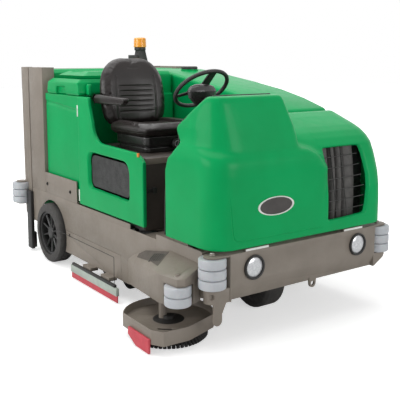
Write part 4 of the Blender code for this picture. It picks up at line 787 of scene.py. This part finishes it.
# Cover pads: two pale nylon strips glued on the bumper's top, which carry the front cover's lower edge.
for word, right, left in (("right", -0.473, -0.308), ("left", 0.295, 0.458)):
    pad = rounded(
        slab(f"cover_pad_{word}", (right, -0.0008, 0.535), (left, 0.004, 0.547), hinge_white), 0.001
    )
    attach(pad, "chassis")


# Cover trims: black rubber edging pressed on the cover's inner edge, and a black strip across the cowl's top
# at its rear edge, which is a painted shadow line under that edge. A shallow moulded crease runs round the
# foot of the corner, with a round dimple at the cowl's left.
def strand(name, points, radius, material, steps=6):
    """A round bar or trim bent through some points."""
    curve = bpy.data.curves.new(name, "CURVE")
    curve.dimensions = "3D"
    curve.bevel_depth, curve.bevel_resolution, curve.use_fill_caps = radius, 3, True
    curve.resolution_u = steps
    line = curve.splines.new("NURBS")
    line.points.add(len(points) - 1)
    for point, place in zip(line.points, points):
        point.co = (*at(*place), 1)
    line.order_u, line.use_endpoint_u = 3, True
    obj = bpy.data.objects.new(name, curve)
    bpy.context.scene.collection.objects.link(obj)
    alone(obj)
    bpy.ops.object.convert(target="MESH")
    obj = bpy.context.object
    obj.data.materials.clear()
    obj.data.materials.append(material)
    bpy.ops.object.mode_set(mode="EDIT")
    bpy.ops.mesh.select_all(action="SELECT")
    bpy.ops.mesh.remove_doubles(threshold=0.00001)
    bpy.ops.mesh.normals_make_consistent(inside=False)
    bpy.ops.object.mode_set(mode="OBJECT")
    bpy.ops.object.shade_smooth_by_angle(angle=math.radians(40))
    return obj


edge = [
    (-0.606, 0.186, 1.366), (-0.640, 0.262, 1.288), (-0.654, 0.396, 1.203), (-0.658, 0.362, 1.110),
    (-0.664, 0.444, 1.020), (-0.676, 0.464, 0.920), (-0.684, 0.486, 0.820), (-0.684, 0.487, 0.560),
]
trim = strand("cover_edge_trim", [(x + 0.002, y + 0.002, z) for x, y, z in edge], 0.004, black_plastic, 4)
# The black strip along the cowl's top rear edge is painted shadow: a dark bar where that edge's shadow line
# falls.
top_painted_shadow = strand(
    "cover_top_painted_shadow", [(-0.560, 0.192, 1.374), (-0.150, 0.192, 1.374)], 0.005, black_plastic, 4
)
for piece in (trim, top_painted_shadow):
    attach(piece, "chassis")
crease = [
    (-0.600, 0.005, 0.935), (-0.586, 0.002, 0.850), (-0.572, 0.0, 0.740), (-0.564, -0.0015, 0.640),
    (-0.552, -0.0025, 0.603), (-0.500, -0.004, 0.596), (-0.300, -0.004, 0.594), (0.100, -0.004, 0.592),
]
groove = strand("cover_crease", [(x, y - 0.0025, z) for x, y, z in crease], 0.0042, cover_green, 5)
merged(shroud, groove, "DIFFERENCE")
dimple = turned(
    "cover_dimple", [(0, -0.012), (0.020, -0.012), (0.034, 0.0), (0.034, 0.03), (0, 0.03)],
    (0.080, 0.300, 1.190), (0, -0.36, 0.93), 32, cover_green,
)
merged(shroud, dimple, "DIFFERENCE")
alone(shroud)
bpy.ops.object.shade_smooth_by_angle(angle=SMOOTH)


# Grille: thin black wires across the pocket, and dark moulded ducts that lead air to the radiator behind
# them.
duct_grey = surface("duct_grey", tone(86, 84, 82), tone(72, 70, 69), 0.05, (0.6, 0.75), 0.004, 0.0006)
wires = []
for number in range(6):
    z = 0.676 + 0.063 * number
    y = 0.002 + max(0, 0.35 * (z - 0.800))
    wires.append(
        strand(
            f"grille_wire_{number}",
            [(0.158, y, z - 0.004), (0.300, y - 0.006, z), (0.462, y + 0.004, z + 0.004)], 0.0026,
            black_plastic,
        )
    )
for number, x in enumerate((0.258, 0.345)):
    wires.append(
        strand(
            f"grille_post_{number}", [(x - 0.01, 0.018, 0.632), (x, 0.100, 1.046)], 0.003, black_plastic
        )
    )
alone(wires[0])
for wire in wires:
    wire.select_set(True)
bpy.ops.object.join()
wires[0].name = "grille_wires"
stands_for(wires[0], "radiator_grille")
for number, (x, wide) in enumerate(((0.150, 0.086), (0.239, 0.052), (0.294, 0.050), (0.350, 0.110))):
    points = []
    for rise in (0, 0.25, 0.5, 0.75, 1):
        crown = 0.016 * math.sin(math.pi * rise)
        points += [
            (x + wide * share + 0.010 * rise, y - crown + 0.040 * rise, 0.590 + 0.480 * rise)
            for share, y in (
                (0, 0.150), (0, 0.090), (0.12, 0.070), (0.38, 0.060), (0.65, 0.062), (0.90, 0.076),
                (1, 0.098), (1, 0.150),
            )
        ]
    duct = wrapped(f"air_duct_{number}", points, duct_grey)
    rounded(duct, 0.004, 2, 25)
    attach(duct, "chassis")
backing = outlined(
    "duct_backing", "y", [(0.130, 0.580), (0.600, 0.580), (0.600, 1.080), (0.130, 1.080)], 0.152, 0.156,
    screen_black,
)
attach(backing, "chassis")
eased("radiator", wheel_black, 0.002)


# Oval plate: a bare pressed plate with a pale rim and a dark middle, without lettering. It is bent to the
# cover's face and stuck down on it.
def laid(name, flat, target, way, thick, material):
    """Presses a flat sheet on to a surface, along X, Y or Z, and thickens it outwards."""
    flat.name = name
    flat.data.materials.clear()
    flat.data.materials.append(material)
    worked(
        flat, "SHRINKWRAP", target=target, wrap_method="PROJECT", use_negative_direction=True,
        use_positive_direction=True, use_project_x=way == "x", use_project_y=way == "y",
        use_project_z=way == "z",
    )
    worked(flat, "SOLIDIFY", thickness=thick, offset=1.0)
    alone(flat)
    bpy.ops.object.mode_set(mode="EDIT")
    bpy.ops.mesh.select_all(action="SELECT")
    bpy.ops.mesh.normals_make_consistent(inside=False)
    bpy.ops.object.mode_set(mode="OBJECT")
    bpy.ops.object.shade_smooth_by_angle(angle=SMOOTH)
    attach(flat, "chassis")
    return flat


plate_x, plate_z = -0.262, 0.766


def oval(wide, tall, inner):
    """An upright flat ellipse, or the ring between two."""
    bpy.ops.object.select_all(action="DESELECT")
    bpy.ops.mesh.primitive_circle_add(vertices=64, radius=1.0)
    obj = bpy.context.object
    bpy.ops.object.mode_set(mode="EDIT")
    bpy.ops.mesh.select_all(action="SELECT")
    bpy.ops.mesh.extrude_edges_move()
    bpy.ops.transform.resize(value=(inner, inner, 1), center_override=(0, 0, 0))
    if inner < 0.1:
        bpy.ops.mesh.merge(type="CENTER")
    bpy.ops.object.mode_set(mode="OBJECT")
    for vertex in obj.data.vertices:
        vertex.co = at(plate_x + vertex.co.x * wide, -0.060, plate_z + vertex.co.y * tall)
    return obj


plate_dark = surface("plate_dark", tone(66, 62, 60), tone(58, 54, 52), 0.05, (0.35, 0.45), 0.003, 0.0001)
plate = laid("plate_middle", oval(0.124, 0.046, 0.01), shroud, "y", 0.0022, plate_dark)
rim = laid("plate_rim", oval(0.132, 0.053, 0.90), shroud, "y", 0.0040, hinge_white)


# Outrigger tread: a dark non-slip sheet glued on the sloping top of the roller arm, with raised ribs at
# its front.
tread_dark = surface("tread_dark", tone(84, 77, 70), tone(72, 66, 60), 0.05, (0.6, 0.8), 0.003, 0.0004)
arm = frame["nodes"]["brush_outrigger"]


def quilt(rear_in, front_in, front_out, rear_out, along, across):
    """A flat grid stretched between four corners."""
    bpy.ops.object.select_all(action="DESELECT")
    bpy.ops.mesh.primitive_grid_add(x_subdivisions=along, y_subdivisions=across, size=2)
    obj = bpy.context.object
    for vertex in obj.data.vertices:
        s, t = (1 - vertex.co.x) / 2, (vertex.co.y + 1) / 2
        x = (rear_in[0] * (1 - s) + front_in[0] * s) * (1 - t) + (
            rear_out[0] * (1 - s) + front_out[0] * s
        ) * t
        y = (rear_in[1] * (1 - s) + front_in[1] * s) * (1 - t) + (
            rear_out[1] * (1 - s) + front_out[1] * s
        ) * t
        vertex.co = at(x, y, 0.600)
    return obj


sheet = laid(
    "outrigger_tread", quilt((-0.680, 0.790), (-0.682, 0.445), (-0.800, 0.385), (-0.697, 0.790), 30, 10),
    arm, "z", 0.0016, tread_dark,
)
for number in range(6):
    foot = 0.400 + 0.022 * number
    rib = laid(
        f"outrigger_rib_{number}",
        quilt(
            (-0.705, foot + 0.060), (-0.705, foot + 0.052), (-0.765, foot + 0.022),
            (-0.765, foot + 0.030), 2, 8,
        ),
        arm, "z", 0.0040, plate_dark,
    )


# Backrest: moulded foam under dark brown-black vinyl with a fine grain. Its middle is hollowed between
# side bolsters, rows of stitching draw channels across it, and it reclines on a tube at its foot.
seat_vinyl = surface(
    "seat_vinyl", tone(40, 34, 33), tone(33, 28, 27), 0.08, (0.30, 0.38), 0.0022, 0.00008,
    Coat_Weight=0.15, Coat_Roughness=0.25, Specular_IOR_Level=0.3,
)


def stuffed(obj, most):
    """Blows a closed shape up a little under its cover, by no more than a given distance, then smooths it."""
    worked(obj, "REMESH", mode="VOXEL", voxel_size=0.006)
    worked(obj, "SMOOTH", factor=0.5, iterations=14)
    start = [vertex.co.copy() for vertex in obj.data.vertices]
    cloth = obj.modifiers.new("cloth", "CLOTH")
    cloth.settings.use_pressure = True
    cloth.settings.uniform_pressure_force = 4
    cloth.settings.quality = 4
    cloth.settings.mass = 0.3
    cloth.settings.tension_stiffness = cloth.settings.compression_stiffness = 20
    cloth.settings.effector_weights.gravity = 0
    cloth.collision_settings.use_collision = False
    scene = bpy.context.scene
    for number in range(1, 21):
        scene.frame_set(number)
    blown = obj.evaluated_get(bpy.context.evaluated_depsgraph_get()).to_mesh()
    moves = [vertex.co - old for vertex, old in zip(blown.vertices, start)]
    obj.modifiers.remove(cloth)
    scene.frame_set(1)
    for vertex, old, move in zip(obj.data.vertices, start, moves):
        vertex.co = old + (move if move.length <= most else move.normalized() * most)
    worked(obj, "SMOOTH", factor=0.5, iterations=2)
    worked(obj, "SUBSURF", levels=1, render_levels=1)
    alone(obj)
    bpy.ops.object.shade_smooth()
    return obj


def pressed(obj, depth_at):
    """Draws the surface in along its normals, by a depth that depends on the place and the normal."""
    moves = [depth_at(vertex.co, vertex.normal) for vertex in obj.data.vertices]
    normals = [vertex.normal.copy() for vertex in obj.data.vertices]
    for vertex, normal, depth in zip(obj.data.vertices, normals, moves):
        vertex.co -= normal * depth
    return obj


def valley(offset, width):
    """A smooth rise to one where the offset is nought."""
    return math.exp(-((offset / width) ** 2))


seat_x = -0.300
slices = (
    (1.110, 0.212, 1.436, 1.505), (1.160, 0.250, 1.436, 1.522), (1.230, 0.262, 1.438, 1.535),
    (1.300, 0.264, 1.446, 1.545), (1.370, 0.263, 1.458, 1.552), (1.430, 0.255, 1.470, 1.558),
    (1.480, 0.239, 1.484, 1.564), (1.520, 0.213, 1.496, 1.568), (1.550, 0.180, 1.508, 1.571),
    (1.572, 0.138, 1.520, 1.573), (1.584, 0.086, 1.530, 1.573),
)
points = []
for level, half, front, rear in slices:
    points += [
        (seat_x + side * half * share, y, level) for side in (-1, 1)
        for share, y in (
            (1.0, front + 0.040), (1.0, rear - 0.026), (0.94, front + 0.012), (0.94, rear - 0.008),
            (0.80, front), (0.80, rear),
        )
    ]
backrest = wrapped("backrest_foam", points, seat_vinyl)
stuffed(backrest, 0.010)


def backrest_channels(place, normal):
    """How deep the stitching and the hollow draw the backrest in at a place."""
    if normal.y > -0.3:
        return 0.0
    x, z = place.x - MIDDLE - seat_x, place.z
    inside = 1 / (1 + math.exp((abs(x) - 0.128) / 0.008))
    rows = sum(valley(z - (1.205 + 0.036 * row), 0.0048) for row in range(6)) * inside
    sides = valley(abs(x) - 0.158 + 0.25 * (z - 1.30) ** 2, 0.005) * (1.120 < z < 1.455)
    mark = valley((x / 0.058) ** 2 + ((z - 1.515) / 0.018) ** 2 - 1, 0.18) * 0.3
    bowl = 0.016 * valley(x, 0.125) * valley(z - 1.270, 0.150)
    return 0.0038 * min(rows + sides + mark, 1) + bowl


pressed(backrest, backrest_channels)
stands_for(backrest, "seat_backrest")
tube = turned(
    "backrest_hinge", [(0, -0.150), (0.0155, -0.150), (0.0155, 0.150), (0, 0.150)],
    (seat_x, 1.470, 1.100), (1, 0, 0), 24, black_plastic,
)
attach(tube, "seat")



# Cushion: moulded foam under the same vinyl, with bolsters along its sides, a seam round its middle and
# piping along its rim. It is clipped on the seat's pan.
cushion_points = []
for level, half, front, rear in (
    (1.076, 0.225, 0.975, 1.412), (1.100, 0.252, 0.942, 1.414), (1.128, 0.254, 0.938, 1.414),
    (1.150, 0.236, 0.965, 1.408),
):
    edge = ((0.62, front), (0.88, front + 0.018), (1.0, front + 0.075), (1.0, rear - 0.030), (0.9, rear))
    cushion_points += [(seat_x + side * half * share, y, level) for side in (-1, 1) for share, y in edge]
cushion = wrapped("cushion_foam", cushion_points, seat_vinyl)
hollow = wrapped(
    "cushion_middle",
    [
        (seat_x + side * half, y, level) for side in (-1, 1)
        for y, half, low in ((1.020, 0.140, 1.139), (1.200, 0.160, 1.128), (1.500, 0.150, 1.120))
        for level in (low, 1.250)
    ],
    seat_vinyl,
)
merged(cushion, hollow, "DIFFERENCE")
stuffed(cushion, 0.008)


def cushion_channels(place, normal):
    """How deep the seam and the piping draw the cushion in at a place."""
    x, y, z = place.x - MIDDLE - seat_x, place.y - FRONT, place.z
    piping = valley(z - 1.098, 0.004) * (abs(normal.z) < 0.75)
    if normal.z < 0.3:
        return 0.003 * piping
    inner = valley(
        abs(x) - 0.150, 0.005
    ) * (1.02 < y < 1.42) + valley(y - 1.010, 0.005) * (abs(x) < 0.150)
    return 0.0035 * min(inner, 1)


pressed(cushion, cushion_channels)
stands_for(cushion, "seat_cushion")



# Seat base: the suspension's glossy black plastic housing in two moulded tiers with a groove between
# them. It is bolted on the seat box, and the seat slides along on it.
base_black = surface(
    "base_black", tone(36, 33, 33), tone(28, 26, 26), 0.05, (0.26, 0.36), 0.003, 0.0001, Coat_Weight=0.3,
    Coat_Roughness=0.2,
)
base = None
for number, (inset, low, high) in enumerate(
    ((0.010, 0.9665, 0.998), (0.020, 0.980, 1.030), (0.001, 1.010, 1.0690))
):
    half, front, rear, turn = 0.209 - inset, 0.981 + inset, 1.399 - inset, 0.045
    ring = bent(
        (seat_x - half + turn, front + turn), turn, 180, 270, 5
    ) + bent((seat_x + half - turn, front + turn), turn, 270, 360, 5)
    ring += bent((seat_x + half - turn, rear - turn), turn, 0, 90, 5) + bent(
        (seat_x - half + turn, rear - turn), turn, 90, 180, 5
    )
    tier = outlined(f"seat_base_tier_{number}", "z", ring, low, high, base_black)
    base = merged(base, tier) if base else tier
moulded(base, 0.004, 5)
stands_for(base, "seat_base")


# Armrest: a padded arm in the seat's vinyl, which folds up on its bolt at the backrest's side.
eased("armrest", seat_vinyl, 0.012, 4)


# Weight knob: black moulded knob with a pale ring sunk in its face, pushed on the suspension's spindle.
# Turning it sets the suspension for the driver's weight.
knob_foot = (-0.280, 0.9797, 1.020)
knob = turned(
    "weight_knob_grip",
    [
        (0, 0), (0.026, 0), (0.034, -0.004), (0.0345, -0.020), (0.031, -0.026), (0.026, -0.0265),
        (0.023, -0.022), (0.017, -0.022), (0.014, -0.031), (0, -0.0318),
    ],
    knob_foot, (0, 1, 0), 40, black_plastic,
)
stands_for(knob, "seat_weight_knob")
dial = turned(
    "weight_knob_dial", [(0.0172, -0.0205), (0.0228, -0.0205), (0.0228, -0.0258), (0.0172, -0.0258)],
    knob_foot, (0, 1, 0), 40, roller_grey,
)
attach(dial, "weight_knob")


# Steering wheel: moulded black rim over a steel ring, joined by one broad and two slim spokes to a padded
# hub with the horn button in it. It turns on a column that tilts over the dash.
hub = Vector((-0.300, 0.660, 1.390))
up = Vector((0, math.sin(math.radians(40)), math.cos(math.radians(40))))
wheel = turned(
    "steering_rim",
    [
        (0.172 + 0.0128 * math.cos(math.tau * k / 12), 0.0128 * math.sin(math.tau * k / 12))
        for k in range(12)
    ],
    hub, up, 80, black_plastic,
)
pad = turned(
    "steering_pad",
    [
        (0, -0.0115), (0.044, -0.0115), (0.051, -0.004), (0.052, 0.004), (0.046, 0.0105),
        (0.0275, 0.0118), (0.0275, 0.006), (0, 0.006),
    ],
    hub, up, 48, black_plastic,
)
parts = [pad]
across = Vector((1, 0, 0))
down = up.cross(across)
for number, (angle, near, far) in enumerate(
    ((90, 0.030, 0.026), (205, 0.017, 0.011), (335, 0.017, 0.011))
):
    turn = math.radians(angle)
    way = across * math.cos(turn) - down * math.sin(turn)
    wide = way.cross(up)
    corners = [
        hub + way * reach + wide * edge * half + up * (lift + rise)
        for reach, half, lift in (
            (0.034, near, -0.004), (0.100, (near + far) / 2, -0.001), (0.170, far, 0.0)
        )
        for edge in (-1, 1) for rise in (-0.0045, 0.0045)
    ]
    parts.append(rounded(wrapped(f"steering_spoke_{number}", corners, black_plastic), 0.003, 2))
for part in parts:
    merged(wheel, part)
alone(wheel)
bpy.ops.object.shade_smooth_by_angle(angle=math.radians(40))
stands_for(wheel, "steering_wheel")
eased("horn_button", black_plastic, 0.002, 3)


# Steering column and dash: moulded black plastic covers over the column's steel tube, with a round pod
# under the wheel for the gauges. The column tilts, and the dash console is bolted on the floor deck.
eased("steering_column", black_plastic, 0.003, 3)
eased("dash_console", black_plastic, 0.008, 3)
pod = wrapped(
    "column_pod",
    [
        (-0.370 + wide * math.cos(turn), 0.556 + deep * math.sin(turn), z)
        for z, wide, deep in (
            (1.300, 0.050, 0.022), (1.345, 0.096, 0.040), (1.385, 0.104, 0.046), (1.410, 0.084, 0.036),
            (1.424, 0.050, 0.018),
        )
        for turn in (math.tau * step / 16 for step in range(16))
    ],
    base_black,
)
moulded(pod, 0.005, 4)
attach(pod, "column")


# Warning beacon: ribbed amber lens on a black base, held over the tank by a pressed steel bracket. The lens
# is given a faint orange glow of its own, painted light that stands in for light seen through the amber.
amber_lens = surface(
    "amber_lens", tone(250, 172, 30), tone(244, 158, 18), 0.03, (0.14, 0.22), 0.004, 0.0001,
    Coat_Weight=0.3, Transmission_Weight=0.1, Emission_Strength=0.10, Emission_Color=(1.0, 0.35, 0.01, 1),
)
dome = [(0, 1.660), (0.046, 1.660), (0.0495, 1.663)]
for number in range(5):
    foot = 1.666 + number * 0.011
    dome += [
        (0.0495 - 0.0005 * number, foot), (0.0482 - 0.0005 * number, foot + 0.0055),
        (0.0493 - 0.0005 * number, foot + 0.010),
    ]
dome += [(0.046, 1.727), (0.040, 1.732), (0.028, 1.7345), (0, 1.735)]
stands_for(turned("beacon_dome", dome, (0, 1.900, 0), (0, 0, 1), 48, amber_lens), "beacon_lens")
eased("beacon_post", black_plastic, 0.003, 2)


# Side squeegees: a red rubber blade hung from a pale clamping bar, which a dark steel rail carries on the
# right brush door. The left one is a plain blade.
blade = slab("squeegee_blade", (-0.7375, 0.981, 0.007), (-0.7305, 1.659, 0.060), red_rubber)
rounded(blade, 0.001)
stands_for(blade, "side_squeegee_right")
bar_pale = surface("bar_pale", tone(176, 186, 176), tone(164, 174, 165), 0.05, (0.4, 0.5), 0.003, 0.0001)
bar = rounded(slab("squeegee_bar", (-0.7455, 0.981, 0.052), (-0.7225, 1.659, 0.1045), bar_pale), 0.003)
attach(bar, body_of("side_squeegee_right"))
rail = rounded(slab("squeegee_rail", (-0.744, 1.010, 0.1045), (-0.724, 1.640, 0.122), wheel_black), 0.003)
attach(rail, body_of("side_squeegee_right"))
eased("side_squeegee_left", red_rubber, 0.002)


# Brush door seals: strips of black foam rubber along the right brush door's upper and front edges, and a
# black latch near its rear corner.
seal_black = surface("seal_black", tone(38, 36, 34), tone(30, 29, 27), 0.05, (0.6, 0.75), 0.003, 0.0001)
for name, low, high in (
    ("door_top_seal", (-0.7227, 1.050, 0.2945), (-0.7200, 1.900, 0.2980)),
    ("door_front_seal", (-0.7227, 1.0460, 0.090), (-0.7200, 1.0495, 0.2980)),
    ("door_latch", (-0.7235, 1.850, 0.250), (-0.7200, 1.868, 0.272)),
):
    seal = rounded(slab(name, low, high, seal_black), 0.0005)
    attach(seal, body_of("main_brush_door_right"))


# Seat box: folded steel in dark brown paint, welded up and bolted in the frame. A strip in the chassis's
# colour caps its front's upper edge, and a black rubber latch holds its front panel.
box_brown = surface("box_brown", tone(66, 59, 54), tone(58, 52, 47), 0.08, (0.45, 0.55), 0.004, 0.00015)
eased("seat_support", box_brown, 0.003)
strip = rounded(
    slab("seat_box_strip", (-0.624, 0.7965, 0.926), (0.118, 0.8003, 0.9645), chassis_paint), 0.0015
)
latch = rounded(
    slab("seat_box_latch", (-0.634, 0.790, 0.748), (-0.546, 0.7998, 0.774), black_plastic), 0.003
)
knuckle = rounded(
    slab("seat_box_latch_knuckle", (-0.578, 0.782, 0.742), (-0.552, 0.7998, 0.780), black_plastic), 0.003
)
for piece, slot in ((strip, "chassis_paint"), (latch, "black_plastic"), (knuckle, "black_plastic")):
    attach(piece, "chassis")


# Scrub head: folded steel frame with two bristle rollers side by side under the machine. The rollers turn
# on bearings in the frame's ends.
eased("scrub_head_frame", wheel_black, 0.002)
eased("scrub_brush_front", bristle_black, 0.002)
eased("scrub_brush_rear", bristle_black, 0.002)


# Rear squeegee: a curved steel frame behind the rear wheels, with a red rubber blade clamped along it.
# Two steel guards stand at its ends.
eased("rear_squeegee_frame", wheel_black, 0.002)
eased("rear_squeegee_blade", red_rubber, 0.002)
eased("squeegee_guard_right", wheel_black, 0.002)
eased("squeegee_guard_left", wheel_black, 0.002)


# Drive: a solid-tyred front wheel that a forged steel fork steers, and the cast engine block behind the
# seat box.
eased("steer_fork", wheel_black, 0.002)
eased("drive_wheel", tyre_rubber, 0.002)
eased("engine_block", wheel_black, 0.002)


# Pedals: moulded black plates on the floor deck, hinged at their heels.
eased("drive_pedal", black_plastic, 0.002)
eased("brake_pedal", black_plastic, 0.002)
